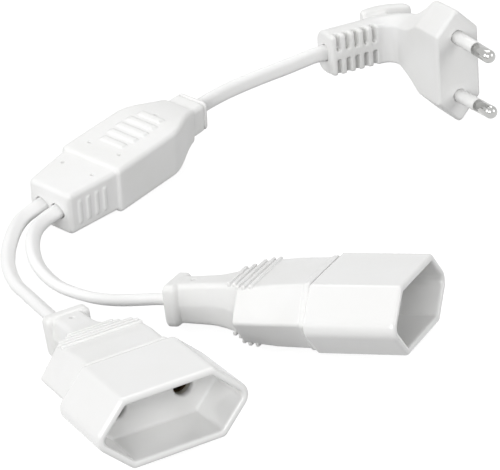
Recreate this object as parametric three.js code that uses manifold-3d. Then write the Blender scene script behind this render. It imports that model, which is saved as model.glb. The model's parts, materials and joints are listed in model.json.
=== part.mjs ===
// Two-way splitter lead for flat two-pin mains plugs: one angled flat plug, a short flat cord,
// a moulded junction, and two flat branch cords that each end in a flat two-pin socket.
// Units are millimetres and +Z is up. The lead lies on the plane z = 0.

import * as THREE from 'three';
import * as BufferGeometryUtils from 'three/addons/utils/BufferGeometryUtils.js';
import Module from 'manifold-3d';

const wasm = await Module();
wasm.setup();

// Driving dimensions shared by several pieces
const touchGap = 0.3;
const mainCordWidth = 5;
const branchCordWidth = 4.3;
const cordThickness = 3.1;
const coreDiameter = 1.5;
const pinDiameter = 4;
const pinPitch = 18;

// Driving dimensions of a socket. Its local x points out of the mouth, y runs across its broad
// faces, z is its thickness, and x = 0 is the rear of the hard shroud.
const recessFlatHalf = 11.25;
const recessHalfThickness = 7.3;
const recessTipRadius = 1.7;
const recessDepth = 14.8;
const shroudWall = 1.9;
const shroudLength = 24.5;
const shroudFloor = 2.2;
const pinHoleDiameter = 5;
const gripLength = 40.5;
const gripTipHalf = 16.8;
const gripFrontHalfThickness = 8.7;
const gripShoulder = 20.2;
const gripRingLength = 1.5;
const gripRingRise = 0.7;
const neckHalfWidth = 4.9;
const neckHalfThickness = 5.4;
const flangeHalfWidth = 6.2;
const flangeHalfThickness = 5.7;
const flangeThickness = 3.6;
const flangeRadius = 1.6;
const gripRibCount = 5;
const gripRibPitch = 2.0;
const gripRibWidth = 0.9;
const gripRibRise = 0.6;
const gripShoulderHalfThickness = 7.3;
const gripFlatHalf = 10.7;
const gripRibStart = 16.6;
const neckDimpleRadius = 0.8;
const neckDimpleDepth = 0.8;
const contactOuterDiameter = 5.4;
const contactInnerDiameter = 4.3;
const contactLength = 16;
const contactSetback = 1.3;
const carrierLength = 20.2;
const carrierHalfWidth = 12.2;
const carrierHalfThickness = 3.7;
const socketCordDepth = 12;

// Driving dimensions of the plug. Its local x points along the pins, y along the head's
// thickness, z from one pin to the other, and x = 0 is the face that the pins leave.
const plugFlatHalf = 10.9;
const plugHalfThickness = 7.2;
const plugTipRadius = 1.1;
const plugHeadLength = 11.6;
const plugTurnStart = 24;
const plugTurnRadius = 10;
const armHalfHeight = 6.6;
const armHalfDepth = 5;
const armBackRadius = 3.6;
const armLength = 26.5;
const reliefSlotCount = 5;
const reliefSlotPitch = 3.1;
const reliefSlotWidth = 1.5;
const reliefSlotDepth = 2.3;
const reliefRibHalf = 1.3;
const reliefStart = 11.6;
const tabHeight = 15;
const tabWidth = 17;
const tabThickness = 3;
const tabBow = 1.2;
const pinLength = 19;
const pinSleeveLength = 10;
const pinSleeveWall = 0.4;
const pinBasePitch = 18.6;
const pinTipPitch = 17.5;
const pinTail = 11;
const bridgeDepth = 5.6;
const bridgeHalfHeight = 12;
const bridgeHalfThickness = 3.9;
const plugFaceWall = 3;
const plugCordDepth = 7.5;

// Driving dimensions of the junction. Its local x runs from the front face, where the branch
// cords leave, to the rear, where the main cord enters. y runs across and z is its thickness.
const blockLength = 17.5;
const blockFrontHalfWidth = 7.7;
const blockRearHalfWidth = 10.1;
const blockHalfThickness = 6.6;
const bodyHalfWidth = 11;
const bodyHalfThickness = 7.3;
const bodyStraightEnd = 41.5;
const bodyEnd = 56.2;
const bodyEndHalfWidth = 5.9;
const junctionEdgeRadius = 1.4;
const collarLength = 7.4;
const collarHalfWidth = 5.3;
const collarHalfThickness = 4.7;
const collarGrooveWidth = 0.8;
const collarGrooveDepth = 0.6;
const branchSpacing = 5.8;
const junctionRibCount = 5;
const junctionRibPitch = 4.1;
const junctionRibWidth = 2.0;
const junctionRibRise = 0.5;
const junctionRibStart = 27.7;
const junctionRibHalf = 5.2;
const dimpleRadius = 0.6;
const dimpleDepth = 0.8;
const sideBarCount = 4;
const sideBarPitch = 3;
const sideBarRise = 0.35;
const ferruleLength = 12;
const ferruleOuterDiameter = 4.4;
const ferruleInnerDiameter = 3.6;
const ferruleHeight = 2.6;
const coreBlockStart = 23.5;
const coreBlockLength = 15;
const coreBlockHalfWidth = 3.6;
const coreBlockHalfThickness = 5.3;
const branchCordDepth = 12;
const mainCordDepth = 13.6;

// Where each housing lies: x and y of its local origin, its turn about Z, and its roll. The
// sockets roll a little and the junction leans, as the stiff cords hold them.
const socketAPlace = { x: -38.1, y: -89.5, yaw: -65.9, roll: 3 };
const socketBPlace = { x: 11.7, y: -55.1, yaw: -23, roll: -6 };
const junctionPlace = { x: -62.3, y: 23.4, yaw: 48.6, nose: 5.5, roll: 7.5 };
const plugPlace = { x: 58.1, y: 78, yaw: -64.1 };

// Materials
function plastic(color, roughness) {
  return new THREE.MeshStandardMaterial({ color, roughness, metalness: 0 });
}

function metal(color, roughness) {
  return new THREE.MeshStandardMaterial({ color, roughness, metalness: 1 });
}

const softWhite = plastic(0xf2f2ef, 0.5);
const hardWhite = plastic(0xf4f4f2, 0.25);
const cordWhite = plastic(0xefefec, 0.55);
const sleeveWhite = plastic(0xf1f1ee, 0.4);
const innerWhite = plastic(0xe6e4dc, 0.6);
const nickel = metal(0xc9c8c4, 0.2);
const brass = metal(0xc9a860, 0.35);
const coreBlue = plastic(0x2f6fb5, 0.5);
const coreBrown = plastic(0x6b4226, 0.5);

// Shape helpers
function toSolid(geometry) {
  const bare = geometry.clone();
  bare.deleteAttribute('normal');
  bare.deleteAttribute('uv');
  const merged = BufferGeometryUtils.mergeVertices(bare, 1e-4);
  return new wasm.Manifold(new wasm.Mesh({
    numProp: 3,
    vertProperties: new Float32Array(merged.attributes.position.array),
    triVerts: new Uint32Array(merged.index.array),
  }));
}

function toGeometry(solid) {
  const mesh = solid.getMesh();
  const geometry = new THREE.BufferGeometry();
  geometry.setAttribute('position', new THREE.BufferAttribute(mesh.vertProperties, 3));
  geometry.setIndex(new THREE.BufferAttribute(mesh.triVerts, 1));
  geometry.computeVertexNormals();
  return geometry;
}

function join(solids) {
  return solids.reduce((whole, piece) => whole.add(piece));
}

function cut(solid, cutters) {
  return cutters.reduce((left, cutter) => left.subtract(cutter), solid);
}

// A convex outline whose corners are [x, y, radius], rounded by arcs.
function roundedOutline(corners, steps) {
  const points = [];
  const count = corners.length;
  corners.forEach(([x, y, radius], index) => {
    const here = new THREE.Vector2(x, y);
    const before = new THREE.Vector2(...corners[(index + count - 1) % count]).sub(here).normalize();
    const after = new THREE.Vector2(...corners[(index + 1) % count]).sub(here).normalize();
    const halfAngle = Math.acos(THREE.MathUtils.clamp(before.dot(after), -1, 1)) / 2;
    const centre = before.clone().add(after).normalize().multiplyScalar(radius / Math.sin(halfAngle)).add(here);
    const start = before.clone().multiplyScalar(radius / Math.tan(halfAngle)).add(here).sub(centre);
    const end = after.clone().multiplyScalar(radius / Math.tan(halfAngle)).add(here).sub(centre);
    const sweep = Math.atan2(start.cross(end), start.dot(end));
    for (let step = 0; step <= steps; step += 1) {
      points.push(start.clone().rotateAround(new THREE.Vector2(), (sweep * step) / steps).add(centre));
    }
  });
  return points;
}

function boxOutline(halfWidth, halfHeight, radius, steps) {
  return roundedOutline([
    [halfWidth, -halfHeight, radius], [halfWidth, halfHeight, radius],
    [-halfWidth, halfHeight, radius], [-halfWidth, -halfHeight, radius],
  ], steps);
}

function hexOutline(flatHalf, halfThickness, tipHalf, tipRadius, flatRadius, steps) {
  return roundedOutline([
    [flatHalf, -halfThickness, flatRadius], [tipHalf, 0, tipRadius], [flatHalf, halfThickness, flatRadius],
    [-flatHalf, halfThickness, flatRadius], [-tipHalf, 0, tipRadius], [-flatHalf, -halfThickness, flatRadius],
  ], steps);
}

// A closed skin over rings of points, facing out; every ring is convex and has as many points.
function loft(rings) {
  const count = rings[0].length;
  const positions = rings.flat().flatMap((point) => [point.x, point.y, point.z]);
  const faces = [];
  for (let ring = 0; ring < rings.length - 1; ring += 1) {
    for (let side = 0; side < count; side += 1) {
      const next = (side + 1) % count;
      const low = ring * count;
      const high = low + count;
      faces.push(low + side, low + next, high + next, low + side, high + next, high + side);
    }
  }
  const last = (rings.length - 1) * count;
  for (let side = 1; side < count - 1; side += 1) {
    faces.push(0, side + 1, side, last, last + side, last + side + 1);
  }
  const corner = (index) => rings[Math.floor(index / count)][index % count];
  let volume = 0;
  for (let face = 0; face < faces.length; face += 3) {
    const [a, b, c] = [corner(faces[face]), corner(faces[face + 1]), corner(faces[face + 2])];
    volume += a.dot(b.clone().cross(c));
  }
  const geometry = new THREE.BufferGeometry();
  geometry.setAttribute('position', new THREE.Float32BufferAttribute(positions, 3));
  geometry.setIndex(volume < 0 ? faces.reverse() : faces);
  return geometry;
}

// Rings whose outlines lie across the local x axis: sections are [x, outline].
function loftAlongX(sections) {
  return toSolid(loft(sections.map(([x, outline]) => outline.map((p) => new THREE.Vector3(x, p.x, p.y)))));
}

function prismAlongX(from, to, outline) {
  return loftAlongX([[from, outline], [to, outline]]);
}

function box(xRange, yRange, zRange) {
  const geometry = new THREE.BoxGeometry(xRange[1] - xRange[0], yRange[1] - yRange[0], zRange[1] - zRange[0]);
  geometry.translate((xRange[0] + xRange[1]) / 2, (yRange[0] + yRange[1]) / 2, (zRange[0] + zRange[1]) / 2);
  return toSolid(geometry);
}

function cylinderAlongX(from, to, radius, y, z) {
  const geometry = new THREE.CylinderGeometry(radius, radius, to - from, 16);
  geometry.rotateZ(-Math.PI / 2);
  geometry.translate((from + to) / 2, y, z);
  return toSolid(geometry);
}

function cylinderAlongZ(from, to, radius, x, y) {
  const geometry = new THREE.CylinderGeometry(radius, radius, to - from, 12);
  geometry.rotateX(Math.PI / 2);
  geometry.translate(x, y, (from + to) / 2);
  return toSolid(geometry);
}

// A round tube along x: LatheGeometry turns the profile about y, which becomes x.
function turned(profile, segments) {
  const geometry = new THREE.LatheGeometry(profile.map(([x, radius]) => new THREE.Vector2(radius, x)), segments);
  geometry.rotateZ(-Math.PI / 2);
  return geometry;
}

function interpolate(table, at, column) {
  const last = table.length - 1;
  const index = Math.max(1, table.findIndex((row, i) => i > 0 && (row[0] >= at || i === last)));
  const [before, after] = [table[index - 1], table[index]];
  const share = THREE.MathUtils.clamp((at - before[0]) / (after[0] - before[0]), 0, 1);
  return THREE.MathUtils.lerp(before[column], after[column], share);
}

// Cords and cores
function cordOutline(width, grow, roll) {
  const radius = cordThickness / 2 + grow;
  const reach = (width - cordThickness) / 2;
  const outline = [];
  for (let side = -1; side <= 1; side += 2) {
    for (let step = 0; step <= 4; step += 1) {
      const angle = (side > 0 ? -Math.PI / 2 : Math.PI / 2) + (step * Math.PI) / 4;
      outline.push(new THREE.Vector2(side * reach + radius * Math.cos(angle), radius * Math.sin(angle)));
    }
  }
  return outline.map((point) => point.rotateAround(new THREE.Vector2(), THREE.MathUtils.degToRad(roll)));
}

function curveThrough(points) {
  return new THREE.CatmullRomCurve3(points.map((point) => new THREE.Vector3(...point)), false, 'centripetal');
}

function sweep(points, outline, steps) {
  return new THREE.ExtrudeGeometry(new THREE.Shape(outline), {
    steps, bevelEnabled: false, extrudePath: curveThrough(points),
  });
}

function core(points) {
  const circle = [];
  for (let side = 0; side < 8; side += 1) {
    const angle = (side * Math.PI) / 4;
    circle.push(new THREE.Vector2(Math.cos(angle), Math.sin(angle)).multiplyScalar(coreDiameter / 2));
  }
  return sweep(points, circle, 8);
}

// Housings stand on the plane z = 0 by their lowest point.
function housingGroup(place, corners) {
  const group = new THREE.Group();
  group.rotation.order = 'ZYX';
  group.rotation.set(
    THREE.MathUtils.degToRad(place.roll ?? 0),
    THREE.MathUtils.degToRad(-(place.nose ?? 0)),
    THREE.MathUtils.degToRad(place.yaw),
  );
  group.position.set(place.x, place.y, 0);
  group.updateMatrixWorld(true);
  const heights = corners.map((corner) => new THREE.Vector3(...corner).applyMatrix4(group.matrixWorld).z);
  group.position.z = -Math.min(...heights);
  group.updateMatrixWorld(true);
  return group;
}

// Points of a housing's own frame, in the frame of the whole lead
function inLead(group, points) {
  return points.map((point) => new THREE.Vector3(...point).applyMatrix4(group.matrixWorld).toArray());
}

function addMesh(group, name, shape, material) {
  const mesh = new THREE.Mesh(shape.isBufferGeometry ? shape : toGeometry(shape), material);
  mesh.name = name;
  group.add(mesh);
  return mesh;
}

// Values that follow from the driving dimensions of a socket
const chamferShift = shroudWall * Math.tan(Math.PI / 8);
const shroudFlatHalf = recessFlatHalf + chamferShift;
const shroudHalfThickness = recessHalfThickness + shroudWall;
const shroudTipHalf = shroudFlatHalf + shroudHalfThickness;
const shroudTipRadius = recessTipRadius + shroudWall;
const recessFloor = shroudLength - recessDepth;
const pocketEnd = recessFloor - shroudFloor;
const carrierFront = pocketEnd - touchGap;
const carrierRear = carrierFront - carrierLength;
const contactFront = carrierFront - contactSetback;
const contactRear = contactFront - contactLength;
const socketCordEnd = -(gripLength + flangeThickness - socketCordDepth);

// The grip's outer form: distance behind the shroud, half width of the flat, half thickness,
// half width at the ridge. Behind the shoulder a scallop leads down to the neck.
const scallopLength = 12;
const gripForm = [
  [touchGap, gripFlatHalf, gripFrontHalfThickness + gripRingRise / 2, gripTipHalf + gripRingRise],
  [touchGap + gripRingLength, gripFlatHalf, gripFrontHalfThickness + gripRingRise / 2, gripTipHalf + gripRingRise],
  [touchGap + gripRingLength * 1.2, gripFlatHalf - gripRingRise / 2, gripFrontHalfThickness, gripTipHalf],
  [gripShoulder * 0.55, gripFlatHalf, (gripFrontHalfThickness + gripShoulderHalfThickness) / 2 + touchGap, gripTipHalf],
  [gripShoulder, gripFlatHalf, gripShoulderHalfThickness, gripTipHalf],
];
for (let step = 1; step <= 5; step += 1) {
  const share = step / 5;
  const fall = 1 - Math.sqrt(1 - (1 - share) ** 2);
  gripForm.push([
    gripShoulder + scallopLength * share,
    THREE.MathUtils.lerp(neckHalfWidth - 0.9, gripFlatHalf, fall * 0.8 + (1 - share) * 0.2),
    THREE.MathUtils.lerp(neckHalfThickness + 0.4, gripShoulderHalfThickness, (1 - share) ** 1.2),
    THREE.MathUtils.lerp(neckHalfWidth, gripTipHalf, fall),
  ]);
}
gripForm.push([gripLength, neckHalfWidth - 1, neckHalfThickness, neckHalfWidth]);

// Where a socket can touch the plane: the shroud's lower edges and the ends of the lower ribs
const socketFeet = [-1, 1].flatMap((side) => [
  [0, side * shroudFlatHalf, -shroudHalfThickness],
  ...Array.from({ length: gripRibCount }, (_, rib) => {
    const x = gripRibStart + rib * gripRibPitch;
    return [-x - gripRibWidth / 2, side * interpolate(gripForm, x, 1), -interpolate(gripForm, x, 2) - gripRibRise];
  }),
]);

// A socket lies on the lower rear edge of its shroud and on its flange.
function socketGroup(place) {
  const lean = Math.abs(Math.sin(THREE.MathUtils.degToRad(place.roll)));
  const drop = shroudHalfThickness - flangeHalfThickness + (shroudFlatHalf - flangeHalfWidth + flangeRadius) * lean;
  const nose = THREE.MathUtils.radToDeg(Math.asin(drop / (gripLength + flangeThickness)));
  return housingGroup({ ...place, nose }, socketFeet);
}

function socketCordPoints(group) {
  const exit = -(gripLength + flangeThickness);
  return inLead(group, [[exit - 4, 0, 0], [exit, 0, 0], [(exit + socketCordEnd) / 2, 0, 0], [socketCordEnd, 0, 0]]);
}

function shroudShape() {
  const outer = hexOutline(shroudFlatHalf, shroudHalfThickness, shroudTipHalf, shroudTipRadius, 0.6, 4);
  const inner = hexOutline(
    recessFlatHalf, recessHalfThickness, recessFlatHalf + recessHalfThickness, recessTipRadius, 0.5, 3,
  );
  const rounding = 0.5;
  const mouth = hexOutline(
    shroudFlatHalf - rounding / 2, shroudHalfThickness - rounding, shroudTipHalf - rounding * 1.4, shroudTipRadius, 0.5, 4,
  );
  return cut(loftAlongX([[0, outer], [shroudLength - rounding, outer], [shroudLength, mouth]]), [
    prismAlongX(recessFloor, shroudLength + 1, inner),
    prismAlongX(-1, pocketEnd, inner),
    ...[-1, 1].map((side) => cylinderAlongX(
      pocketEnd - 1, recessFloor + 1, pinHoleDiameter / 2, (side * pinPitch) / 2, 0,
    )),
  ]);
}

function carrierShape() {
  const plate = hexOutline(
    recessFlatHalf - touchGap * 0.6, recessHalfThickness - touchGap,
    recessFlatHalf + recessHalfThickness - touchGap * 1.5, recessTipRadius, 0.5, 3,
  );
  const bar = boxOutline(carrierHalfWidth, carrierHalfThickness, 1, 2);
  const boreRadius = contactOuterDiameter / 2 + touchGap;
  return cut(join([prismAlongX(touchGap, carrierFront, plate), prismAlongX(carrierRear, touchGap + 1, bar)]), [
    ...[-1, 1].flatMap((side) => [
      cylinderAlongX(contactRear - touchGap, carrierFront + 1, boreRadius, (side * pinPitch) / 2, 0),
      cylinderAlongX(carrierRear - 1, contactRear, coreDiameter / 2 + touchGap, (side * pinPitch) / 2, 0),
    ]),
  ]);
}

function contactShape() {
  const inner = contactInnerDiameter / 2;
  const outer = contactOuterDiameter / 2;
  const floor = contactRear + 2;
  return turned([
    [contactRear, 0], [contactRear, outer], [contactFront, outer], [contactFront, inner + 0.2],
    [contactFront - 0.4, inner], [floor, inner], [floor, 0],
  ], 20);
}

function gripShape(group, cord) {
  const outer = loftAlongX(gripForm.map(([x, flat, thick, tip]) => [-x, hexOutline(flat, thick, tip, 0.9, 1.6, 2)]));
  const flangeStart = -gripLength + 0.5;
  const flangeEnd = -gripLength - flangeThickness;
  const edge = 0.9;
  const flangeOutline = (inset) => boxOutline(
    flangeHalfWidth - inset, flangeHalfThickness - inset, flangeRadius - inset / 2, 3,
  );
  const flange = loftAlongX([
    [flangeEnd, flangeOutline(edge)], [flangeEnd + edge, flangeOutline(0)],
    [flangeStart - edge, flangeOutline(0)], [flangeStart, flangeOutline(edge)],
  ]);
  const ribs = [];
  for (let rib = 0; rib < gripRibCount; rib += 1) {
    const x = gripRibStart + rib * gripRibPitch;
    const flat = interpolate(gripForm, x, 1);
    const height = interpolate(gripForm, x, 2);
    const ribOutline = boxOutline(flat + 0.4, height + gripRibRise, gripRibRise, 2);
    ribs.push(prismAlongX(-x - gripRibWidth / 2, -x + gripRibWidth / 2, ribOutline));
  }
  const pocket = boxOutline(carrierHalfWidth + touchGap, carrierHalfThickness + touchGap, 1, 2);
  const pocketRear = carrierRear - touchGap;
  const throat = (halfWidth, halfHeight) => boxOutline(halfWidth, halfHeight, 0.8, 2);
  const cavity = join([
    prismAlongX(pocketRear, 1, pocket),
    loftAlongX([
      [socketCordEnd - touchGap * 2, throat(3, 2.4)], [socketCordEnd + 3, throat(3.6, 2.6)],
      [pocketRear - 5, throat(6, 3)], [pocketRear + 0.1, throat(11, 3.4)],
    ]),
  ]);
  const dimple = cylinderAlongZ(
    neckHalfThickness - neckDimpleDepth, neckHalfThickness + 2, neckDimpleRadius, -(gripLength - 3.4), 0,
  );
  return cut(join([outer, flange, ...ribs]), [cavity, cordBore(cord, group), dimple]);
}

function socketCorePoints(side) {
  const start = contactRear - touchGap;
  return [
    [start, (side * pinPitch) / 2, 0], [carrierRear - 1, (side * pinPitch) / 2, 0],
    [carrierRear - 5, side * 5, 0], [socketCordEnd + 3, side * 1.7, 0], [socketCordEnd + touchGap, side * 1.3, 0],
  ];
}

function addSocket(name, group, cord) {
  addMesh(group, `${name}_shroud`, shroudShape(), hardWhite);
  addMesh(group, `${name}_grip`, gripShape(group, cord), softWhite);
  addMesh(group, `${name}_contact_carrier`, carrierShape(), innerWhite);
  [['left', 1, coreBlue], ['right', -1, coreBrown]].forEach(([hand, side, material]) => {
    const contact = addMesh(group, `${name}_contact_${hand}`, contactShape(), brass);
    contact.position.y = (side * pinPitch) / 2;
    addMesh(group, `${name}_core_${hand}`, core(socketCorePoints(side)), material);
  });
  return group;
}

// Values that follow from the driving dimensions of the plug
const plugTipHalf = plugFlatHalf + plugHalfThickness;
const armDepth = plugTurnStart + plugTurnRadius;
const plugCordEnd = -(armLength - plugCordDepth);
const pinTilt = Math.atan2((pinBasePitch - pinTipPitch) / 2, pinLength - pinDiameter / 2);
const pinSleeveRadius = pinDiameter / 2;
const pinShankRadius = pinSleeveRadius - pinSleeveWall - touchGap / 3;

// The plug's body follows a line that runs back from the face and turns into the cord arm.
// Each ring: distance along that line, half height at the flat, half height at the ridge, half
// depth towards the inside of the turn, half depth towards the outside, rounding.
function turnFrame(distance) {
  const quarter = (Math.PI / 2) * plugTurnRadius;
  if (distance <= plugTurnStart) {
    return { x: -distance, y: 0, turn: 0 };
  }
  if (distance <= plugTurnStart + quarter) {
    const turn = (distance - plugTurnStart) / plugTurnRadius;
    return {
      x: -plugTurnStart - plugTurnRadius * Math.sin(turn), y: -plugTurnRadius * (1 - Math.cos(turn)), turn,
    };
  }
  return { x: -armDepth, y: -plugTurnRadius - (distance - plugTurnStart - quarter), turn: Math.PI / 2 };
}

function ringAt(distance, outline) {
  const { x, y, turn } = turnFrame(distance);
  return outline.map((p) => new THREE.Vector3(x - p.x * Math.sin(turn), y + p.x * Math.cos(turn), p.y));
}

function plugRing([distance, flatHalf, tipHalf, inside, outside, tipRadius, backRadius]) {
  const outline = roundedOutline([
    [-inside, -flatHalf, 0.8], [0, -tipHalf, tipRadius], [outside, -flatHalf, backRadius],
    [outside, flatHalf, backRadius], [0, tipHalf, tipRadius], [-inside, flatHalf, 0.8],
  ], 3);
  return ringAt(distance, outline);
}

const turnLength = (Math.PI / 2) * plugTurnRadius;
const armEndDistance = plugTurnStart + turnLength + armLength - plugTurnRadius;
const plugForm = [
  [0, plugFlatHalf - 0.5, plugTipHalf - 0.7, plugHalfThickness - 0.5, plugHalfThickness - 0.5, plugTipRadius, 0.8],
  [0.6, plugFlatHalf, plugTipHalf, plugHalfThickness, plugHalfThickness, plugTipRadius, 0.8],
  [plugHeadLength, plugFlatHalf - 0.2, plugTipHalf - 0.2, plugHalfThickness, plugHalfThickness, 1.6, 1],
  [14.5, 9.4, 15.9, 6.8, 6.8, 2, 1.2],
  [17.5, 7.9, 13.6, 6.6, 6.7, 2, 1.6],
  [21, 6.9, 11.2, 6.3, 6.5, 2, 2],
  [24, 6.4, 9.5, 6, 6.3, 2, 2.4],
  [plugTurnStart + turnLength * 0.3, 6.2, 8.2, 5.6, 6, 2, 2.8],
  [plugTurnStart + turnLength * 0.6, 6.1, 7.4, 5.2, 5.6, 2, 3.2],
  [plugTurnStart + turnLength, armHalfHeight - 0.3, armHalfHeight + 0.1, armHalfDepth, armHalfDepth, 1, armBackRadius],
  [armEndDistance - 0.7, armHalfHeight - 0.3, armHalfHeight + 0.1, armHalfDepth, armHalfDepth, 1, armBackRadius],
  [armEndDistance, armHalfHeight - 0.9, armHalfHeight - 0.5, armHalfDepth - 0.6, armHalfDepth - 0.6, 1, armBackRadius - 0.4],
];

function plugCavity() {
  const bridgePocket = box(
    [-plugFaceWall - bridgeDepth - touchGap * 2, -plugFaceWall],
    [-bridgeHalfThickness - touchGap, bridgeHalfThickness + touchGap],
    [-bridgeHalfHeight - touchGap, bridgeHalfHeight + touchGap],
  );
  const channel = [
    [plugFaceWall + bridgeDepth, 11.6, 3.2], [13.5, 11, 2.8], [17.5, 8.8, 2.4], [21, 6.6, 2.2],
    [24, 5.2, 2.2], [plugTurnStart + turnLength * 0.3, 4.3, 2.2], [plugTurnStart + turnLength * 0.6, 3.6, 2.2],
    [plugTurnStart + turnLength, 3.1, 2.1], [armEndDistance - plugCordDepth + 0.6, 3, 2],
  ].map(([distance, halfHeight, halfDepth]) => ringAt(distance, boxOutline(halfDepth, halfHeight, 0.8, 2)));
  return join([bridgePocket, toSolid(loft(channel))]);
}

function pinTransform(side) {
  const matrix = new THREE.Matrix4().makeRotationY(side * pinTilt);
  matrix.setPosition(0, 0, (side * pinBasePitch) / 2);
  return matrix;
}

function pinBores(from, to, radius) {
  return [-1, 1].map((side) => {
    const geometry = new THREE.CylinderGeometry(radius, radius, to - from, 16);
    geometry.rotateZ(-Math.PI / 2);
    geometry.translate((from + to) / 2, 0, 0);
    return toSolid(geometry.applyMatrix4(pinTransform(side)));
  });
}

function reliefNotches() {
  const notches = [];
  const reach = 3;
  for (let slot = 0; slot < reliefSlotCount; slot += 1) {
    const y = -reliefStart - slot * reliefSlotPitch;
    const yRange = [y - reliefSlotWidth / 2, y + reliefSlotWidth / 2];
    [-1, 1].forEach((up) => {
      const zRange = up > 0 ? [reliefRibHalf, armHalfHeight + reach] : [-armHalfHeight - reach, -reliefRibHalf];
      const near = -armDepth + armHalfDepth;
      const far = -armDepth - armHalfDepth;
      notches.push(box([near - reliefSlotDepth, near + reach], yRange, zRange));
      notches.push(box([far - reach, far + reliefSlotDepth], yRange, zRange));
    });
  }
  return notches;
}

// A bowed finger tab across the back of the arm's root
function fingerTab() {
  const rings = [];
  const back = -armDepth - armHalfDepth;
  for (let step = 0; step <= 6; step += 1) {
    const share = step / 6;
    const y = -plugTurnRadius + share * tabWidth;
    const bow = tabBow * (1 - (2 * share - 1) ** 2);
    const half = tabHeight / 2 - 1.6 * share ** 2;
    const outline = boxOutline(tabThickness / 2, half, 0.9, 2);
    rings.push(outline.map((p) => new THREE.Vector3(back - tabThickness / 2 + 0.6 - bow + p.x, y, p.y)));
  }
  return toSolid(loft(rings));
}

function plugShape(group) {
  const web = box(
    [-armDepth - armHalfDepth - 0.6, -armDepth], [-plugTurnRadius, -plugTurnRadius + tabWidth * 0.5],
    [-armHalfHeight + 1.2, armHalfHeight - 1.2],
  );
  const body = join([toSolid(loft(plugForm.map(plugRing))), fingerTab(), web]);
  return cut(body, [
    plugCavity(), ...pinBores(-plugFaceWall - 1, 1, pinSleeveRadius + touchGap), ...reliefNotches(),
    cordBore(mainCord, group),
  ]);
}

function bridgeShape() {
  const block = box(
    [-plugFaceWall - bridgeDepth - touchGap, -plugFaceWall - touchGap],
    [-bridgeHalfThickness, bridgeHalfThickness], [-bridgeHalfHeight, bridgeHalfHeight],
  );
  const sleeveSeat = -plugFaceWall - 3;
  return cut(block, [
    ...pinBores(-pinTail - 2, 0, pinShankRadius + touchGap / 3), ...pinBores(sleeveSeat, 1, pinSleeveRadius + touchGap / 2),
  ]);
}

function pinShape() {
  const radius = pinDiameter / 2;
  const shoulder = pinSleeveLength + touchGap;
  const dome = [];
  for (let step = 0; step <= 5; step += 1) {
    const angle = (step / 5) * (Math.PI / 2);
    dome.push([pinLength - radius + radius * Math.sin(angle), radius * Math.cos(angle)]);
  }
  dome[dome.length - 1][1] = 0;
  return turned([
    [-pinTail, 0], [-pinTail, pinShankRadius], [shoulder, pinShankRadius], [shoulder, radius], ...dome,
  ], 16);
}

function sleeveShape() {
  const inner = pinShankRadius + touchGap / 3;
  const rear = -plugFaceWall - 3 + touchGap;
  return turned([
    [rear, inner], [rear, pinSleeveRadius], [pinSleeveLength, pinSleeveRadius], [pinSleeveLength, inner], [rear, inner],
  ], 16);
}

function plugCorePoints(side) {
  const slope = Math.tan(pinTilt);
  const tailZ = side * (pinBasePitch / 2 + slope * pinTail);
  const start = -pinTail - touchGap;
  return [
    [start, 0, tailZ], [start - 2, 0, tailZ - side * 0.3], [-plugTurnStart + 5, 0, side * 6.2],
    [-plugTurnStart - 1, -0.6, side * 3.2], [-armDepth + 3.5, -plugTurnRadius + 6, side * 2.1],
    [-armDepth + 0.4, -plugTurnRadius + 1, side * 1.6], [-armDepth, -plugTurnRadius - 4, side * 1.3],
    [-armDepth, plugCordEnd + touchGap, side * 1.2],
  ];
}

function addPlug(group) {
  addMesh(group, 'plug_body', plugShape(group), softWhite);
  addMesh(group, 'plug_pin_bridge', bridgeShape(), innerWhite);
  [['upper', 1, coreBrown], ['lower', -1, coreBlue]].forEach(([hand, side, material]) => {
    const pin = addMesh(group, `plug_pin_${hand}`, pinShape(), nickel);
    const sleeve = addMesh(group, `plug_pin_sleeve_${hand}`, sleeveShape(), sleeveWhite);
    [pin, sleeve].forEach((mesh) => mesh.applyMatrix4(pinTransform(side)));
    addMesh(group, `plug_core_${hand}`, core(plugCorePoints(side)), material);
  });
  return group;
}

// Values that follow from the driving dimensions of the junction
const junctionLength = bodyEnd + collarLength;
const mainCordEnd = junctionLength - mainCordDepth;
const coreBlockEnd = coreBlockStart + coreBlockLength;
const ferruleStart = coreBlockStart + (coreBlockLength - ferruleLength) / 2;
const ferruleEnd = ferruleStart + ferruleLength;

// The junction's outer form behind the step: place, half width, half thickness
const taperLength = bodyEnd - bodyStraightEnd;
const junctionForm = [[blockLength, bodyHalfWidth, bodyHalfThickness], [bodyStraightEnd, bodyHalfWidth, bodyHalfThickness]];
for (let step = 1; step <= 6; step += 1) {
  const share = step / 6;
  const ease = share * share * (3 - 2 * share);
  junctionForm.push([
    bodyStraightEnd + taperLength * share,
    THREE.MathUtils.lerp(bodyHalfWidth, bodyEndHalfWidth, ease * 0.7 + share * 0.3),
    THREE.MathUtils.lerp(bodyHalfThickness, collarHalfThickness + 0.9, share ** 2),
  ]);
}

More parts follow.
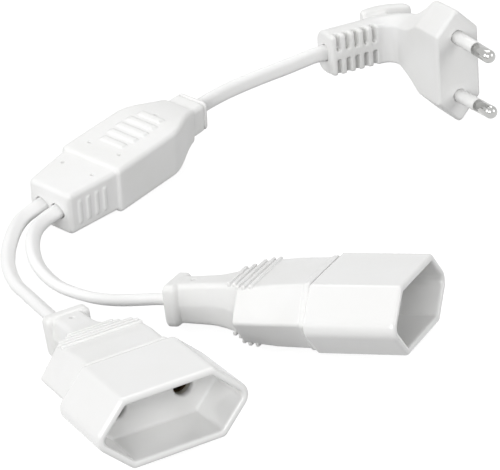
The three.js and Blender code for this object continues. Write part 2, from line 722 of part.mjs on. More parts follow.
function junctionShape(group) {
  const corner = (halfWidth, halfThickness) => boxOutline(halfWidth, halfThickness, junctionEdgeRadius, 3);
  const soft = 0.8;
  const block = loftAlongX([
    [0, corner(blockFrontHalfWidth - soft, blockHalfThickness - soft)],
    [soft, corner(blockFrontHalfWidth, blockHalfThickness)],
    [blockLength + 1, corner(blockRearHalfWidth, blockHalfThickness)],
  ]);
  const body = loftAlongX([
    [blockLength, corner(bodyHalfWidth - 0.4, bodyHalfThickness - 0.4)],
    [blockLength + 0.6, corner(bodyHalfWidth, bodyHalfThickness)],
    ...junctionForm.slice(1).map(([x, halfWidth, halfThickness]) => [x, corner(halfWidth, halfThickness)]),
  ]);
  const collar = loftAlongX([
    [bodyEnd - 1, corner(collarHalfWidth, collarHalfThickness)],
    [junctionLength - soft, corner(collarHalfWidth, collarHalfThickness)],
    [junctionLength, corner(collarHalfWidth - soft, collarHalfThickness - soft)],
  ]);
  const grooveAt = junctionLength - collarGrooveWidth * 2.8;
  const groove = cut(
    prismAlongX(grooveAt, grooveAt + collarGrooveWidth, boxOutline(collarHalfWidth + 2, collarHalfThickness + 2, 1, 1)),
    [prismAlongX(
      grooveAt - 1, grooveAt + collarGrooveWidth + 1,
      corner(collarHalfWidth - collarGrooveDepth, collarHalfThickness - collarGrooveDepth),
    )],
  );
  const ribs = [];
  for (let rib = 0; rib < junctionRibCount; rib += 1) {
    const offset = rib - (junctionRibCount - 1) / 2;
    const x = junctionRibStart + rib * junctionRibPitch;
    const half = junctionRibHalf - 0.26 * offset ** 2;
    const top = bodyHalfThickness + junctionRibRise;
    ribs.push(prismAlongX(x - junctionRibWidth / 2, x + junctionRibWidth / 2, boxOutline(half, top, 0.4, 1)));
  }
  const bars = [];
  const flare = (blockRearHalfWidth - blockFrontHalfWidth) / blockLength;
  for (let bar = 0; bar < sideBarCount; bar += 1) {
    const x = blockLength / 2 - 0.6 + (bar - (sideBarCount - 1) / 2) * sideBarPitch;
    const half = blockFrontHalfWidth + flare * x + sideBarRise;
    bars.push(box([x - 0.5, x + 0.5], [-half, half], [-3.6, 3.6]));
  }
  const dimples = [
    [bodyStraightEnd + 4.8, 0], [blockLength + 6.3, bodyHalfWidth / 2], [blockLength + 6.3, -bodyHalfWidth / 2],
    [blockLength * 0.7, bodyHalfWidth / 2], [blockLength * 0.7, -bodyHalfWidth / 2],
  ].map(([x, y]) => {
    const top = x > blockLength ? bodyHalfThickness : blockHalfThickness;
    return cylinderAlongZ(top - dimpleDepth, top + 2, dimpleRadius, x, y);
  });
  const cavityHalfWidth = coreBlockHalfWidth + coreDiameter;
  const coreRoom = ferruleHeight + coreDiameter / 2 + touchGap;
  const blockRoom = coreBlockHalfThickness + touchGap;
  const cavity = join([
    box([branchCordDepth - touchGap * 2, coreBlockStart - 2.5], [-cavityHalfWidth, cavityHalfWidth], [-coreRoom, coreRoom]),
    box([coreBlockStart - 3.5, coreBlockEnd + 4], [-cavityHalfWidth, cavityHalfWidth], [-blockRoom, blockRoom]),
    box([coreBlockEnd + 3, mainCordEnd + touchGap * 2], [-coreDiameter * 1.3, coreDiameter * 1.3], [-coreRoom, coreRoom]),
  ]);
  return cut(join([block, body, collar, ...ribs, ...bars]), [
    groove, ...dimples, cavity,
    cordBore(mainCord, group), cordBore(branchCordA, group), cordBore(branchCordB, group),
  ]);
}

function coreBlockShape() {
  const block = prismAlongX(coreBlockStart, coreBlockEnd, boxOutline(coreBlockHalfWidth, coreBlockHalfThickness, 0.8, 2));
  return cut(block, [-1, 1].map((up) => cylinderAlongX(
    coreBlockStart - 1, coreBlockEnd + 1, ferruleOuterDiameter / 2 + touchGap * 0.5, 0, up * ferruleHeight,
  )));
}

function ferruleShape() {
  const inner = ferruleInnerDiameter / 2;
  const outer = ferruleOuterDiameter / 2;
  return turned([
    [ferruleStart, inner], [ferruleStart, outer], [ferruleEnd, outer], [ferruleEnd, inner], [ferruleStart, inner],
  ], 16);
}

// Cores inside the junction: from each cord's end into the two ferrules
function branchCorePoints(cordSide, up) {
  const y = (cordSide * branchSpacing) / 2 + cordSide * up * 1.15;
  const inside = cordSide * (coreDiameter / 2 + 0.15);
  const lead = cordSide * 1.3;
  return [
    [branchCordDepth + touchGap, y, 0.3 * up], [branchCordDepth + 3, y, 0.6 * up],
    [coreBlockStart - 3.5, lead, up * 2.2], [coreBlockStart, inside, up * ferruleHeight],
    [ferruleStart + 4, inside, up * ferruleHeight],
  ];
}

function mainCorePoints(up) {
  return [
    [mainCordEnd - touchGap, 0, up * 1.2], [mainCordEnd - 4, 0, up * 1.3],
    [coreBlockEnd + 1, 0, up * ferruleHeight], [ferruleEnd - 5, 0, up * ferruleHeight],
  ];
}

function addJunction(group) {
  addMesh(group, 'junction_body', junctionShape(group), softWhite);
  addMesh(group, 'junction_core_block', coreBlockShape(), innerWhite);
  [['upper', 1, coreBrown], ['lower', -1, coreBlue]].forEach(([hand, up, material]) => {
    const ferrule = addMesh(group, `junction_ferrule_${hand}`, ferruleShape(), brass);
    ferrule.position.z = up * ferruleHeight;
    addMesh(group, `junction_main_core_${hand}`, core(mainCorePoints(up)), material);
    addMesh(group, `junction_branch_a_core_${hand}`, core(branchCorePoints(1, up)), material);
    addMesh(group, `junction_branch_b_core_${hand}`, core(branchCorePoints(-1, up)), material);
  });
  return group;
}

// The junction rests on its front lower edges and the plug on its lower ridge.
const junctionFeet = [-1, 1].flatMap((side) => [
  [0, side * (blockFrontHalfWidth - junctionEdgeRadius), -blockHalfThickness],
  [blockLength, side * (bodyHalfWidth - junctionEdgeRadius), -bodyHalfThickness],
]);
const plugFoot = [0, 0, -plugTipHalf + plugTipRadius * (Math.SQRT2 - 1)];
const junction = housingGroup(junctionPlace, junctionFeet);
const plug = housingGroup(plugPlace, [plugFoot]);
const socketA = socketGroup(socketAPlace);
const socketB = socketGroup(socketBPlace);

// Cords: each route starts and ends on the line of a housing, and lies between them as chosen by
// hand. The roll turns the broad side: 0 stands it upright.
function junctionBranchPoints(y) {
  return inLead(junction, [[branchCordDepth, y, 0], [branchCordDepth / 2, y, 0], [0, y, 0], [-4, y, 0]]);
}

const branchRoll = 50;
const mainCord = {
  width: mainCordWidth,
  roll: 0,
  steps: 26,
  route: [
    ...inLead(junction, [[mainCordEnd, 0, 0], [bodyEnd, 0, 0], [junctionLength, 0, 0], [junctionLength + 3.5, 0, 0]]),
    [-15, 76.7, 14.1], [-10.6, 80.4, 14.6], [-4.8, 84.3, 15.2], [1.5, 87.8, 15.9],
    [7.8, 91, 16.6], [12.4, 93.4, 17.2],
    ...inLead(plug, [[-armDepth, -armLength - 3.5, 0], [-armDepth, -armLength, 0],
      [-armDepth, (plugCordEnd - armLength) / 2, 0], [-armDepth, plugCordEnd, 0]]),
  ],
};
const branchCordA = {
  width: branchCordWidth,
  roll: branchRoll,
  steps: 28,
  route: [
    ...junctionBranchPoints(branchSpacing / 2),
    [-69.6, 18, 7.2], [-71.4, 12.6, 6.9], [-72.6, 6.3, 6.2], [-73.2, 0.7, 5.2],
    [-73, -5, 4.3], [-72, -10.3, 3.6], [-70.2, -15.8, 3.1], [-67.3, -21.6, 3],
    [-64.4, -28, 3.3], [-61.8, -34.4, 4], [-59.6, -40.2, 4.8],
    ...socketCordPoints(socketA),
  ],
};
const branchCordB = {
  width: branchCordWidth,
  roll: branchRoll,
  steps: 28,
  route: [
    ...junctionBranchPoints(-branchSpacing / 2),
    [-65, 14.2, 6.5], [-66.3, 9.3, 6.2], [-66.6, 3.6, 5.5], [-65.9, -2.2, 4.5],
    [-64.3, -7.6, 3.7], [-61.8, -12.8, 3.1], [-58.8, -17.7, 2.9], [-54.8, -22, 2.9],
    [-48.9, -26.6, 3], [-42.6, -30.6, 3.9], [-37, -33.4, 5],
    ...socketCordPoints(socketB),
  ],
};

function cordTube(cord) {
  return sweep(cord.route, cordOutline(cord.width, 0, cord.roll), cord.steps);
}

// The bore that a cord leaves in a housing
function cordBore(cord, group) {
  const geometry = sweep(cord.route, cordOutline(cord.width, touchGap, cord.roll), cord.steps);
  geometry.applyMatrix4(group.matrixWorld.clone().invert());
  return toSolid(geometry);
}

const splitter = new THREE.Group();
splitter.name = 'power_cord_splitter';
addPlug(plug);
addJunction(junction);
addSocket('socket_a', socketA, branchCordA);
addSocket('socket_b', socketB, branchCordB);
splitter.add(plug, junction, socketA, socketB);
addMesh(splitter, 'main_cord', cordTube(mainCord), cordWhite);
addMesh(splitter, 'branch_cord_a', cordTube(branchCordA), cordWhite);
addMesh(splitter, 'branch_cord_b', cordTube(branchCordB), cordWhite);

export default splitter;
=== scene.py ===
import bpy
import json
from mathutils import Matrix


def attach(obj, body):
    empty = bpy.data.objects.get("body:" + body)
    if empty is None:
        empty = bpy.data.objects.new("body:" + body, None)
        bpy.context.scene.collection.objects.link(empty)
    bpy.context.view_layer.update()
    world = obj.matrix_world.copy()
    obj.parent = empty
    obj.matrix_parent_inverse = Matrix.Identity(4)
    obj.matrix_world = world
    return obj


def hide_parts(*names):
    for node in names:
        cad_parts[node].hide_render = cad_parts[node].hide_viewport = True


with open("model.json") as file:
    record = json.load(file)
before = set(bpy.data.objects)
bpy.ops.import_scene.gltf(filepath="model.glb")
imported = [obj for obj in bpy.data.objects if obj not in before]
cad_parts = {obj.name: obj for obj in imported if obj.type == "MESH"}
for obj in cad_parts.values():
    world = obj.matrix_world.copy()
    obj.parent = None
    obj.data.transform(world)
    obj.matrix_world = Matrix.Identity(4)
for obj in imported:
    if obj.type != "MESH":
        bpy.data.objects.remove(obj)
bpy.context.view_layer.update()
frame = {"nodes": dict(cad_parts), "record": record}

import json
import math

import bmesh
import bpy
from bpy.props import FloatProperty, FloatVectorProperty, IntProperty, PointerProperty
from mathutils import Matrix, Vector

bl_info = {
    "name": "Power Cord Splitter",
    "version": (1, 0, 0),
    "blender": (4, 5, 0),
    "location": "3D View > Sidebar > Splitter",
    "description": "Dresses a white two-way splitter lead: plug, junction, sockets and cords",
    "category": "Object",
}

# Metres in a millimetre, and the clearance round a cord in its housing in millimetres
MM = 0.001
GAP = 0.3


# Where each housing lies, in millimetres and degrees: x, y, z, yaw, nose up, roll
PLACES = {
    "plug": (58.1, 78.0, 17.6444, -64.1, 0.0, 0.0),
    "junction": (-62.3, 23.4, 7.3319, 48.6, 5.5, 7.5),
    "socket_a": (-38.1, -89.5, 10.3139, -65.9, 5.0595, 3.0),
    "socket_b": (11.7, -55.1, 10.9786, -23.0, 5.566, -6.0),
}


def placement(housing):
    """Millimetres of a housing's own frame to metres of the row frame."""
    x, y, z, yaw, nose, roll = PLACES[housing]
    turn = (Matrix.Rotation(math.radians(yaw), 4, "Z")
            @ Matrix.Rotation(math.radians(-nose), 4, "Y")
            @ Matrix.Rotation(math.radians(roll), 4, "X"))
    return Matrix.Scale(MM, 4) @ Matrix.Translation((x, y, z)) @ turn


def in_lead(housing, points):
    """Points of a housing's own frame, in millimetres of the row frame."""
    matrix = Matrix.Scale(1 / MM, 4) @ placement(housing)
    return [tuple(matrix @ Vector(point)) for point in points]


def line_x(housing, y, places):
    """Points at some x places on a line of a housing, in millimetres of the row frame."""
    return in_lead(housing, [(x, y, 0.0) for x in places])


def branch_start(y):
    """Where a branch cord's route starts in the junction and leaves its front."""
    return line_x("junction", y, (12.0, 6.0, 0.0, -4.0))


def branch_end(housing):
    """Where a branch cord's route reaches a socket's flange and ends in its grip."""
    return line_x(housing, 0.0, (-48.1, -44.1, -38.1, -32.1))


# How far each cord's broad side is rolled, in degrees, and its route in millimetres. A route starts and
# ends on the line of a housing; the points between are listed.
CORD_ROLLS = {"main_cord": 0.0, "branch_cord_a": 50.0, "branch_cord_b": 50.0}
ROUTES = {
    "main_cord": [
        *line_x("junction", 0.0, (50.0, 56.2, 63.6, 67.1)),
        (-15.0, 76.7, 14.1), (-10.6, 80.4, 14.6), (-4.8, 84.3, 15.2), (1.5, 87.8, 15.9),
        (7.8, 91.0, 16.6), (12.4, 93.4, 17.2),
        *in_lead("plug", [(-34.0, y, 0.0) for y in (-30.0, -26.5, -22.75, -19.0)]),
    ],
    "branch_cord_a": [
        *branch_start(2.9),
        (-69.6, 18.0, 7.2), (-71.4, 12.6, 6.9), (-72.6, 6.3, 6.2), (-73.2, 0.7, 5.2),
        (-73.0, -5.0, 4.3), (-72.0, -10.3, 3.6), (-70.2, -15.8, 3.1), (-67.3, -21.6, 3.0),
        (-64.4, -28.0, 3.3), (-61.8, -34.4, 4.0), (-59.6, -40.2, 4.8),
        *branch_end("socket_a"),
    ],
    "branch_cord_b": [
        *branch_start(-2.9),
        (-65.0, 14.2, 6.5), (-66.3, 9.3, 6.2), (-66.6, 3.6, 5.5), (-65.9, -2.2, 4.5),
        (-64.3, -7.6, 3.7), (-61.8, -12.8, 3.1), (-58.8, -17.7, 2.9), (-54.8, -22.0, 2.9),
        (-48.9, -26.6, 3.0), (-42.6, -30.6, 3.9), (-37.0, -33.4, 5.0),
        *branch_end("socket_b"),
    ],
}


# Outlines and lofts

def outline(corners, steps):
    """A convex outline; each corner is (u, v, radius) and is rounded by an arc."""
    points = []
    count = len(corners)
    for index, (u, v, radius) in enumerate(corners):
        here = Vector((u, v))
        before = (Vector(corners[index - 1][:2]) - here).normalized()
        after = (Vector(corners[(index + 1) % count][:2]) - here).normalized()
        half = math.acos(max(-1.0, min(1.0, before.dot(after)))) / 2
        centre = here + (before + after).normalized() * (radius / math.sin(half))
        start = here + before * (radius / math.tan(half)) - centre
        end = here + after * (radius / math.tan(half)) - centre
        sweep = math.atan2(start.x * end.y - start.y * end.x, start.dot(end))
        for step in range(steps + 1):
            points.append(centre + Matrix.Rotation(sweep * step / steps, 2) @ start)
    return points


def box_outline(half_width, half_height, radius, steps=4):
    return outline([(half_width, -half_height, radius), (half_width, half_height, radius),
                    (-half_width, half_height, radius), (-half_width, -half_height, radius)], steps)


def hex_outline(flat, thick, tip, tip_radius, flat_radius, steps=5):
    return outline([(flat, -thick, flat_radius), (tip, 0, tip_radius), (flat, thick, flat_radius),
                    (-flat, thick, flat_radius), (-tip, 0, tip_radius), (-flat, -thick, flat_radius)],
                   steps)


def add_skin(bm, rings):
    """Bridges rings of points into one closed shell."""
    loops = []
    for points in rings:
        made = bmesh.ops.create_circle(bm, cap_ends=False, segments=len(points), radius=1.0)
        for vert, point in zip(made["verts"], points):
            vert.co = point
        loops.append(list({edge for vert in made["verts"] for edge in vert.link_edges}))
    for low, high in zip(loops, loops[1:]):
        bmesh.ops.bridge_loops(bm, edges=low + high)
    for end in (loops[0], loops[-1]):
        bmesh.ops.holes_fill(bm, edges=end)
    bmesh.ops.recalc_face_normals(bm, faces=bm.faces)


def shell(name, *skins):
    """A loose working object made from one or more skins, each a list of rings of points."""
    bm = bmesh.new()
    for rings in skins:
        add_skin(bm, rings)
    return working(name, bm)


def working(name, bm):
    mesh = bpy.data.meshes.new(name)
    bm.to_mesh(mesh)
    bm.free()
    piece = bpy.data.objects.new(name, mesh)
    bpy.context.scene.collection.objects.link(piece)
    return piece


def along_x(sections):
    """Rings across the local x axis from (x, outline) sections."""
    return [[Vector((x, point[0], point[1])) for point in points] for x, points in sections]


def prism(name, low, high, points):
    return shell(name, along_x([(low, points), (high, points)]))


def block(name, x_range, y_range, z_range):
    bm = bmesh.new()
    bmesh.ops.create_cube(bm, size=1.0)
    ranges = (x_range, y_range, z_range)
    bmesh.ops.scale(bm, vec=[high - low for low, high in ranges], verts=bm.verts)
    bmesh.ops.translate(bm, vec=[(high + low) / 2 for low, high in ranges], verts=bm.verts)
    return working(name, bm)


def rod(name, axis, low, high, radius, across=(0.0, 0.0), segments=32):
    """A round rod along x or z; across holds its place on the two other axes."""
    bm = bmesh.new()
    bmesh.ops.create_cone(bm, cap_ends=True, segments=segments, radius1=radius, radius2=radius,
                          depth=high - low)
    middle = (low + high) / 2
    if axis == "X":
        bmesh.ops.rotate(bm, verts=bm.verts, matrix=Matrix.Rotation(math.pi / 2, 3, "Y"))
        bmesh.ops.translate(bm, verts=bm.verts, vec=(middle, across[0], across[1]))
    else:
        bmesh.ops.translate(bm, verts=bm.verts, vec=(across[0], across[1], middle))
    return working(name, bm)


def spun(name, profile, segments=48):
    """A turned piece about the local x axis from (x, radius) points."""
    bm = bmesh.new()
    verts = [bm.verts.new((x, radius, 0.0)) for x, radius in profile]
    edges = [bm.edges.new(pair) for pair in zip(verts, verts[1:])]
    bmesh.ops.spin(bm, geom=verts + edges, axis=(1, 0, 0), cent=(0, 0, 0),
                   angle=2 * math.pi, steps=segments, use_merge=True)
    bmesh.ops.remove_doubles(bm, verts=bm.verts, dist=1e-4)
    bmesh.ops.recalc_face_normals(bm, faces=bm.faces)
    return working(name, bm)


def settle(piece):
    """Applies a working piece's modifiers."""
    graph = bpy.context.evaluated_depsgraph_get()
    mesh = bpy.data.meshes.new_from_object(piece.evaluated_get(graph))
    old = piece.data
    piece.modifiers.clear()
    piece.data = mesh
    bpy.data.meshes.remove(old)


def combine(piece, operation, others):
    """Joins working pieces to one, or cuts them from it, and removes them."""
    for other in others:
        change = piece.modifiers.new(other.name, "BOOLEAN")
        change.operation = operation
        change.solver = "EXACT"
        change.object = other
    settle(piece)
    for other in others:
        mesh = other.data
        bpy.data.objects.remove(other)
        bpy.data.meshes.remove(mesh)


def soften(piece, grain, rounds):
    """Rounds every edge a little, as moulding does."""
    remesh = piece.modifiers.new("grain", "REMESH")
    remesh.mode = "VOXEL"
    remesh.voxel_size = grain
    remesh.use_smooth_shade = True
    smooth = piece.modifiers.new("soft", "SMOOTH")
    smooth.factor = 0.5
    smooth.iterations = rounds
    settle(piece)


def finish_piece(piece, name, matrix, material, slot, *nodes):
    """Puts a piece in its place, in metres, and hides the CAD nodes it stands for."""
    piece.data.transform(matrix)
    piece.name = name
    piece.data.name = name
    for polygon in piece.data.polygons:
        polygon.use_smooth = True
    piece.data.materials.clear()
    piece.data.materials.append(material)
    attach(piece, "root")
    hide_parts(*nodes)


def row_slope(rows, index, column):
    """How fast a column changes at a row; level at both ends and at a peak."""
    if index in (0, len(rows) - 1):
        return 0.0
    low, here, high = rows[index - 1], rows[index], rows[index + 1]
    left = (here[column] - low[column]) / (here[0] - low[0])
    right = (high[column] - here[column]) / (high[0] - here[0])
    return 0.0 if left * right <= 0 else 2 * left * right / (left + right)


def blend_rows(rows, at):
    """Values of a table at a place between its rows, on a smooth curve."""
    last = len(rows) - 1
    index = next((i for i in range(1, last + 1) if rows[i][0] >= at), last)
    before, after = rows[index - 1], rows[index]
    span = after[0] - before[0]
    share = max(0.0, min(1.0, (at - before[0]) / span))
    values = []
    for column in range(1, len(before)):
        leaving = row_slope(rows, index - 1, column) * span
        arriving = row_slope(rows, index, column) * span
        values.append((2 * share ** 3 - 3 * share ** 2 + 1) * before[column]
                      + (share ** 3 - 2 * share ** 2 + share) * leaving
                      + (-2 * share ** 3 + 3 * share ** 2) * after[column]
                      + (share ** 3 - share ** 2) * arriving)
    return values


def places_between(low, high, count):
    """Evenly spaced numbers from low to high, both ends included."""
    return [low + (high - low) * step / count for step in range(count + 1)]


# Routes and sections of the cords

FINE_STEPS = 20
BORE_PITCH = 1.5


def between(first, second, low, high, at):
    """The point at a place on a line through two points that lie at low and high."""
    return first * ((high - at) / (high - low)) + second * ((at - low) / (high - low))


def smooth_route(points, pitch):
    """Evenly spaced points on a smooth curve through a route's points."""
    points = [Vector(point) for point in points]
    points = [2 * points[0] - points[1]] + points + [2 * points[-1] - points[-2]]
    fine = []
    for index in range(1, len(points) - 2):
        p = points[index - 1:index + 3]
        t = [0.0]
        for a, b in zip(p, p[1:]):
            t.append(t[-1] + math.sqrt((b - a).length))
        for step in range(FINE_STEPS):
            at = t[1] + (t[2] - t[1]) * step / FINE_STEPS
            a = [between(p[i], p[i + 1], t[i], t[i + 1], at) for i in range(3)]
            b = [between(a[i], a[i + 1], t[i], t[i + 2], at) for i in range(2)]
            fine.append(between(b[0], b[1], t[1], t[2], at))
    fine.append(points[-2])
    lengths = [0.0]
    for a, b in zip(fine, fine[1:]):
        lengths.append(lengths[-1] + (b - a).length)
    count = max(2, round(lengths[-1] / pitch))
    route = []
    index = 0
    for step in range(count + 1):
        want = lengths[-1] * step / count
        while index < len(lengths) - 2 and lengths[index + 1] < want:
            index += 1
        share = (want - lengths[index]) / (lengths[index + 1] - lengths[index])
        route.append(fine[index].lerp(fine[index + 1], share))
    return route, lengths[-1]


def cord_width(name):
    """A cord's broad side, in metres."""
    sizes = bpy.context.scene.splitter.cord
    return sizes.main_width if name == "main_cord" else sizes.branch_width


def cord_section(name, grow=0.0, steps=8):
    """A flat cord's outline with round sides, in millimetres, grown by some clearance."""
    width = cord_width(name) / MM
    thickness = bpy.context.scene.splitter.cord.thickness / MM
    radius = thickness / 2 + grow
    reach = (width - thickness) / 2
    points = []
    for side in (-1, 1):
        start = math.pi / 2 if side < 0 else -math.pi / 2
        for step in range(steps + 1):
            angle = start + math.pi * step / steps
            points.append(Vector((side * reach + radius * math.cos(angle), radius * math.sin(angle))))
    return [Matrix.Rotation(math.radians(CORD_ROLLS[name]), 2) @ point for point in points]


def sweep_rings(route, section):
    """Rings of a section carried along a route without twisting."""
    tangents = []
    for index in range(len(route)):
        low, high = max(0, index - 1), min(len(route) - 1, index + 1)
        tangents.append((route[high] - route[low]).normalized())
    normal = tangents[0].cross(tangents[0].cross(Vector((0, 0, 1)))).normalized()
    rings = []
    for index, (point, tangent) in enumerate(zip(route, tangents)):
        if index:
            normal = tangents[index - 1].rotation_difference(tangent) @ normal
            normal = (normal - tangent * normal.dot(tangent)).normalized()
        side = tangent.cross(normal)
        rings.append([point + normal * p.x + side * p.y for p in section])
    return rings


def cord_bore(name, housing):
    """The space that a cord takes in a housing, in the housing's own millimetres."""
    route, _ = smooth_route(ROUTES[name], BORE_PITCH)
    section = cord_section(name, GAP)
    into = (Matrix.Scale(1 / MM, 4) @ placement(housing)).inverted()
    rings = [[into @ point for point in ring] for ring in sweep_rings(route, section)]
    return shell(name + "_bore", rings)


# Materials

class Wire:
    """A shader socket whose arithmetic adds Math nodes."""

    def __init__(self, build, socket):
        self.build = build
        self.socket = socket

    def _math(self, operation, first, second):
        return self.build.node("ShaderNodeMath", {"operation": operation}, {0: first, 1: second})

    def __add__(self, other):
        return self._math("ADD", self, other)

    __radd__ = __add__

    def __mul__(self, other):
        return self._math("MULTIPLY", self, other)

    __rmul__ = __mul__

    def larger(self, other):
        return self._math("MAXIMUM", self, other)


class Finish:
    """A material or world under construction, with one method that makes its nodes."""

    def __init__(self, owner):
        self.owner = owner
        owner.use_nodes = True
        self.tree = owner.node_tree
        self.tree.nodes.clear()

    def node(self, kind, settings=None, inputs=None, output=0):
        """Makes one node, with its settings, its values or links, and the output that is used."""
        made = self.tree.nodes.new(kind)
        for key, value in (settings or {}).items():
            setattr(made, key, value)
        for key, value in (inputs or {}).items():
            if isinstance(value, Wire):
                self.tree.links.new(value.socket, made.inputs[key])
            else:
                made.inputs[key].default_value = value
        return Wire(self, made.outputs[output]) if len(made.outputs) else None

    def noise(self, place, scale, detail=2.0):
        return self.node("ShaderNodeTexNoise", {}, {"Vector": place, "Scale": scale, "Detail": detail})

    def blend(self, share, low, high):
        """A colour between two; a mix node counts its two colours as inputs 6 and 7."""
        return self.node("ShaderNodeMix", {"data_type": "RGBA"},
                         {"Factor": share, 6: (*low, 1.0), 7: (*high, 1.0)}, output=2)

    def seen_or_mirrored(self):
        """1 for rays that show a surface to the camera, straight, mirrored or through a clear piece."""
        kinds = ("Is Camera Ray", "Is Glossy Ray", "Is Transmission Ray")
        seen, mirrored, passed = [self.node("ShaderNodeLightPath", output=kind) for kind in kinds]
        return seen.larger(mirrored).larger(passed)

    def close(self, shader, kind="ShaderNodeOutputMaterial"):
        self.node(kind, {}, {"Surface": shader})
        return self.owner


def uneven(roughness, pattern, spread):
    """A roughness that a pattern raises and lowers by half of a spread."""
    return roughness - spread / 2 + pattern * spread


def scaled(colour, share):
    return [value * share for value in colour]


def moulded(name, colour, roughness, coat, grain, grain_depth, haze=0.03):
    """White moulded plastic: a fine grain, faint flow marks and slight changes of gloss."""
    build = Finish(bpy.data.materials.new(name))
    place = build.node("ShaderNodeTexCoord", output="Object")
    flow = build.noise(place, 60.0, 3.0)
    fine = build.noise(place, grain, 2.0)
    specks = build.noise(place, 900.0, 1.0)
    shade = build.node("ShaderNodeMapRange", {}, {"Value": flow, "From Min": 0.35, "From Max": 0.65,
                                                  "To Min": 0.0, "To Max": 1.0})
    dark = scaled(colour[:2], 1 - haze) + [colour[2] * (1 - haze * 1.3)]
    tint = build.blend(shade, dark, colour)
    relief = build.node("ShaderNodeBump", {}, {"Strength": 0.5, "Distance": grain_depth, "Height": fine})
    swell = build.node("ShaderNodeBump", {}, {"Strength": 0.35, "Distance": grain_depth * 4,
                                              "Height": build.noise(place, 220.0, 1.0), "Normal": relief})
    return build.close(build.node("ShaderNodeBsdfPrincipled", {}, {
        "Base Color": tint, "Roughness": uneven(roughness, specks, 0.08), "Coat Weight": coat,
        "Coat Roughness": 0.15, "IOR": 1.5, "Normal": swell}))


def drawn_metal(name, colour, roughness, depth):
    """Plated or drawn metal with fine lines and a few dull patches."""
    build = Finish(bpy.data.materials.new(name))
    place = build.node("ShaderNodeTexCoord", output="Object")
    patches = build.noise(place, 350.0, 3.0)
    lines = build.noise(place, 4000.0, 1.0)
    tint = build.blend(patches, scaled(colour, 0.93), colour)
    relief = build.node("ShaderNodeBump", {}, {"Strength": 0.3, "Distance": depth, "Height": lines})
    return build.close(build.node("ShaderNodeBsdfPrincipled", {}, {
        "Base Color": tint, "Metallic": 1.0, "Roughness": uneven(roughness, patches, 0.04),
        "Normal": relief}))


def cord_sheath(name, colour):
    """A flat cord's sheath: soft sheen, faint lengthwise drawing marks."""
    build = Finish(bpy.data.materials.new(name))
    place = build.node("ShaderNodeTexCoord", output="UV")
    stretched = build.node("ShaderNodeMapping", {}, {"Vector": place, "Scale": (6.0, 160.0, 1.0)})
    lines = build.noise(stretched, 1.0, 2.0)
    solid = build.node("ShaderNodeTexCoord", output="Object")
    cloud = build.noise(solid, 90.0, 2.0)
    tint = build.blend(cloud, scaled(colour, 0.96), colour)
    relief = build.node("ShaderNodeBump", {}, {"Strength": 0.25, "Distance": 0.00003, "Height": lines})
    return build.close(build.node("ShaderNodeBsdfPrincipled", {}, {
        "Base Color": tint, "Roughness": 0.42 + cloud * 0.08, "IOR": 1.5, "Normal": relief}))


FINISHES = {}


# Settings

class CordSizes(bpy.types.PropertyGroup):
    main_width: FloatProperty(name="Main cord width", description="Broad side of the main cord",
                              default=0.0050, unit="LENGTH", precision=4)
    branch_width: FloatProperty(name="Branch cord width", description="Broad side of each branch cord",
                                default=0.0043, unit="LENGTH", precision=4)
    thickness: FloatProperty(name="Cord thickness", description="Narrow side of the flat cord",
                             default=0.0031, unit="LENGTH", precision=4)
    pitch: FloatProperty(name="Ring spacing", description="Distance between rings of the cord's mesh",
                         default=0.0012, unit="LENGTH", precision=4)


class SocketSizes(bpy.types.PropertyGroup):
    shroud_length: FloatProperty(name="Shroud length", description="Length of the hard hexagonal shroud",
                                 default=0.0245, unit="LENGTH", precision=4)
    wall: FloatProperty(name="Shroud wall", description="Wall round the recess",
                        default=0.0019, unit="LENGTH", precision=4)
    recess_depth: FloatProperty(name="Recess depth", description="From the mouth to the contact holes",
                                default=0.0148, unit="LENGTH", precision=4)
    grip_length: FloatProperty(name="Grip length", description="Soft grip behind the shroud, to its flange",
                               default=0.0405, unit="LENGTH", precision=4)
    rib_count: IntProperty(name="Grip ribs", description="Ribs across the grip", default=5, min=0, max=8)


class JunctionSizes(bpy.types.PropertyGroup):
    block_length: FloatProperty(name="Block length", description="Narrow front block of the junction",
                                default=0.0175, unit="LENGTH", precision=4)
    body_half_width: FloatProperty(name="Body half width", description="Half the width of the junction",
                                   default=0.0110, unit="LENGTH", precision=4)
    rib_count: IntProperty(name="Top ribs", description="Raised ribs on the junction", default=5, min=0, max=7)


class PlugSizes(bpy.types.PropertyGroup):
    pin_diameter: FloatProperty(name="Pin diameter", description="Diameter of each round pin",
                                default=0.0040, unit="LENGTH", precision=4)
    pin_length: FloatProperty(name="Pin length", description="From the face to the pin's tip",
                              default=0.0190, unit="LENGTH", precision=4)
    slot_count: IntProperty(name="Relief slots", description="Slots along the strain relief",
                            default=5, min=0, max=6)


class Colours(bpy.types.PropertyGroup):
    housing: FloatVectorProperty(name="Housing", description="Soft white of the moulded housings",
                                 subtype="COLOR", size=3, min=0, max=1, default=(0.85, 0.85, 0.845))
    shroud: FloatVectorProperty(name="Shroud", description="Glossy white of the hard shrouds",
                                subtype="COLOR", size=3, min=0, max=1, default=(0.86, 0.86, 0.855))
    cord: FloatVectorProperty(name="Cord", description="White of the cords' sheath",
                              subtype="COLOR", size=3, min=0, max=1, default=(0.91, 0.91, 0.905))
    pins: FloatVectorProperty(name="Pins", description="Bright nickel of the pins",
                              subtype="COLOR", size=3, min=0, max=1, default=(0.50, 0.50, 0.49))
    floor: FloatVectorProperty(name="Floor", description="Pale floor under the lead",
                               subtype="COLOR", size=3, min=0, max=1, default=(0.27, 0.27, 0.27))


class SplitterSettings(bpy.types.PropertyGroup):
    cord: PointerProperty(type=CordSizes)
    socket: PointerProperty(type=SocketSizes)
    junction: PointerProperty(type=JunctionSizes)
    plug: PointerProperty(type=PlugSizes)
    colours: PointerProperty(type=Colours)


# Stage and materials

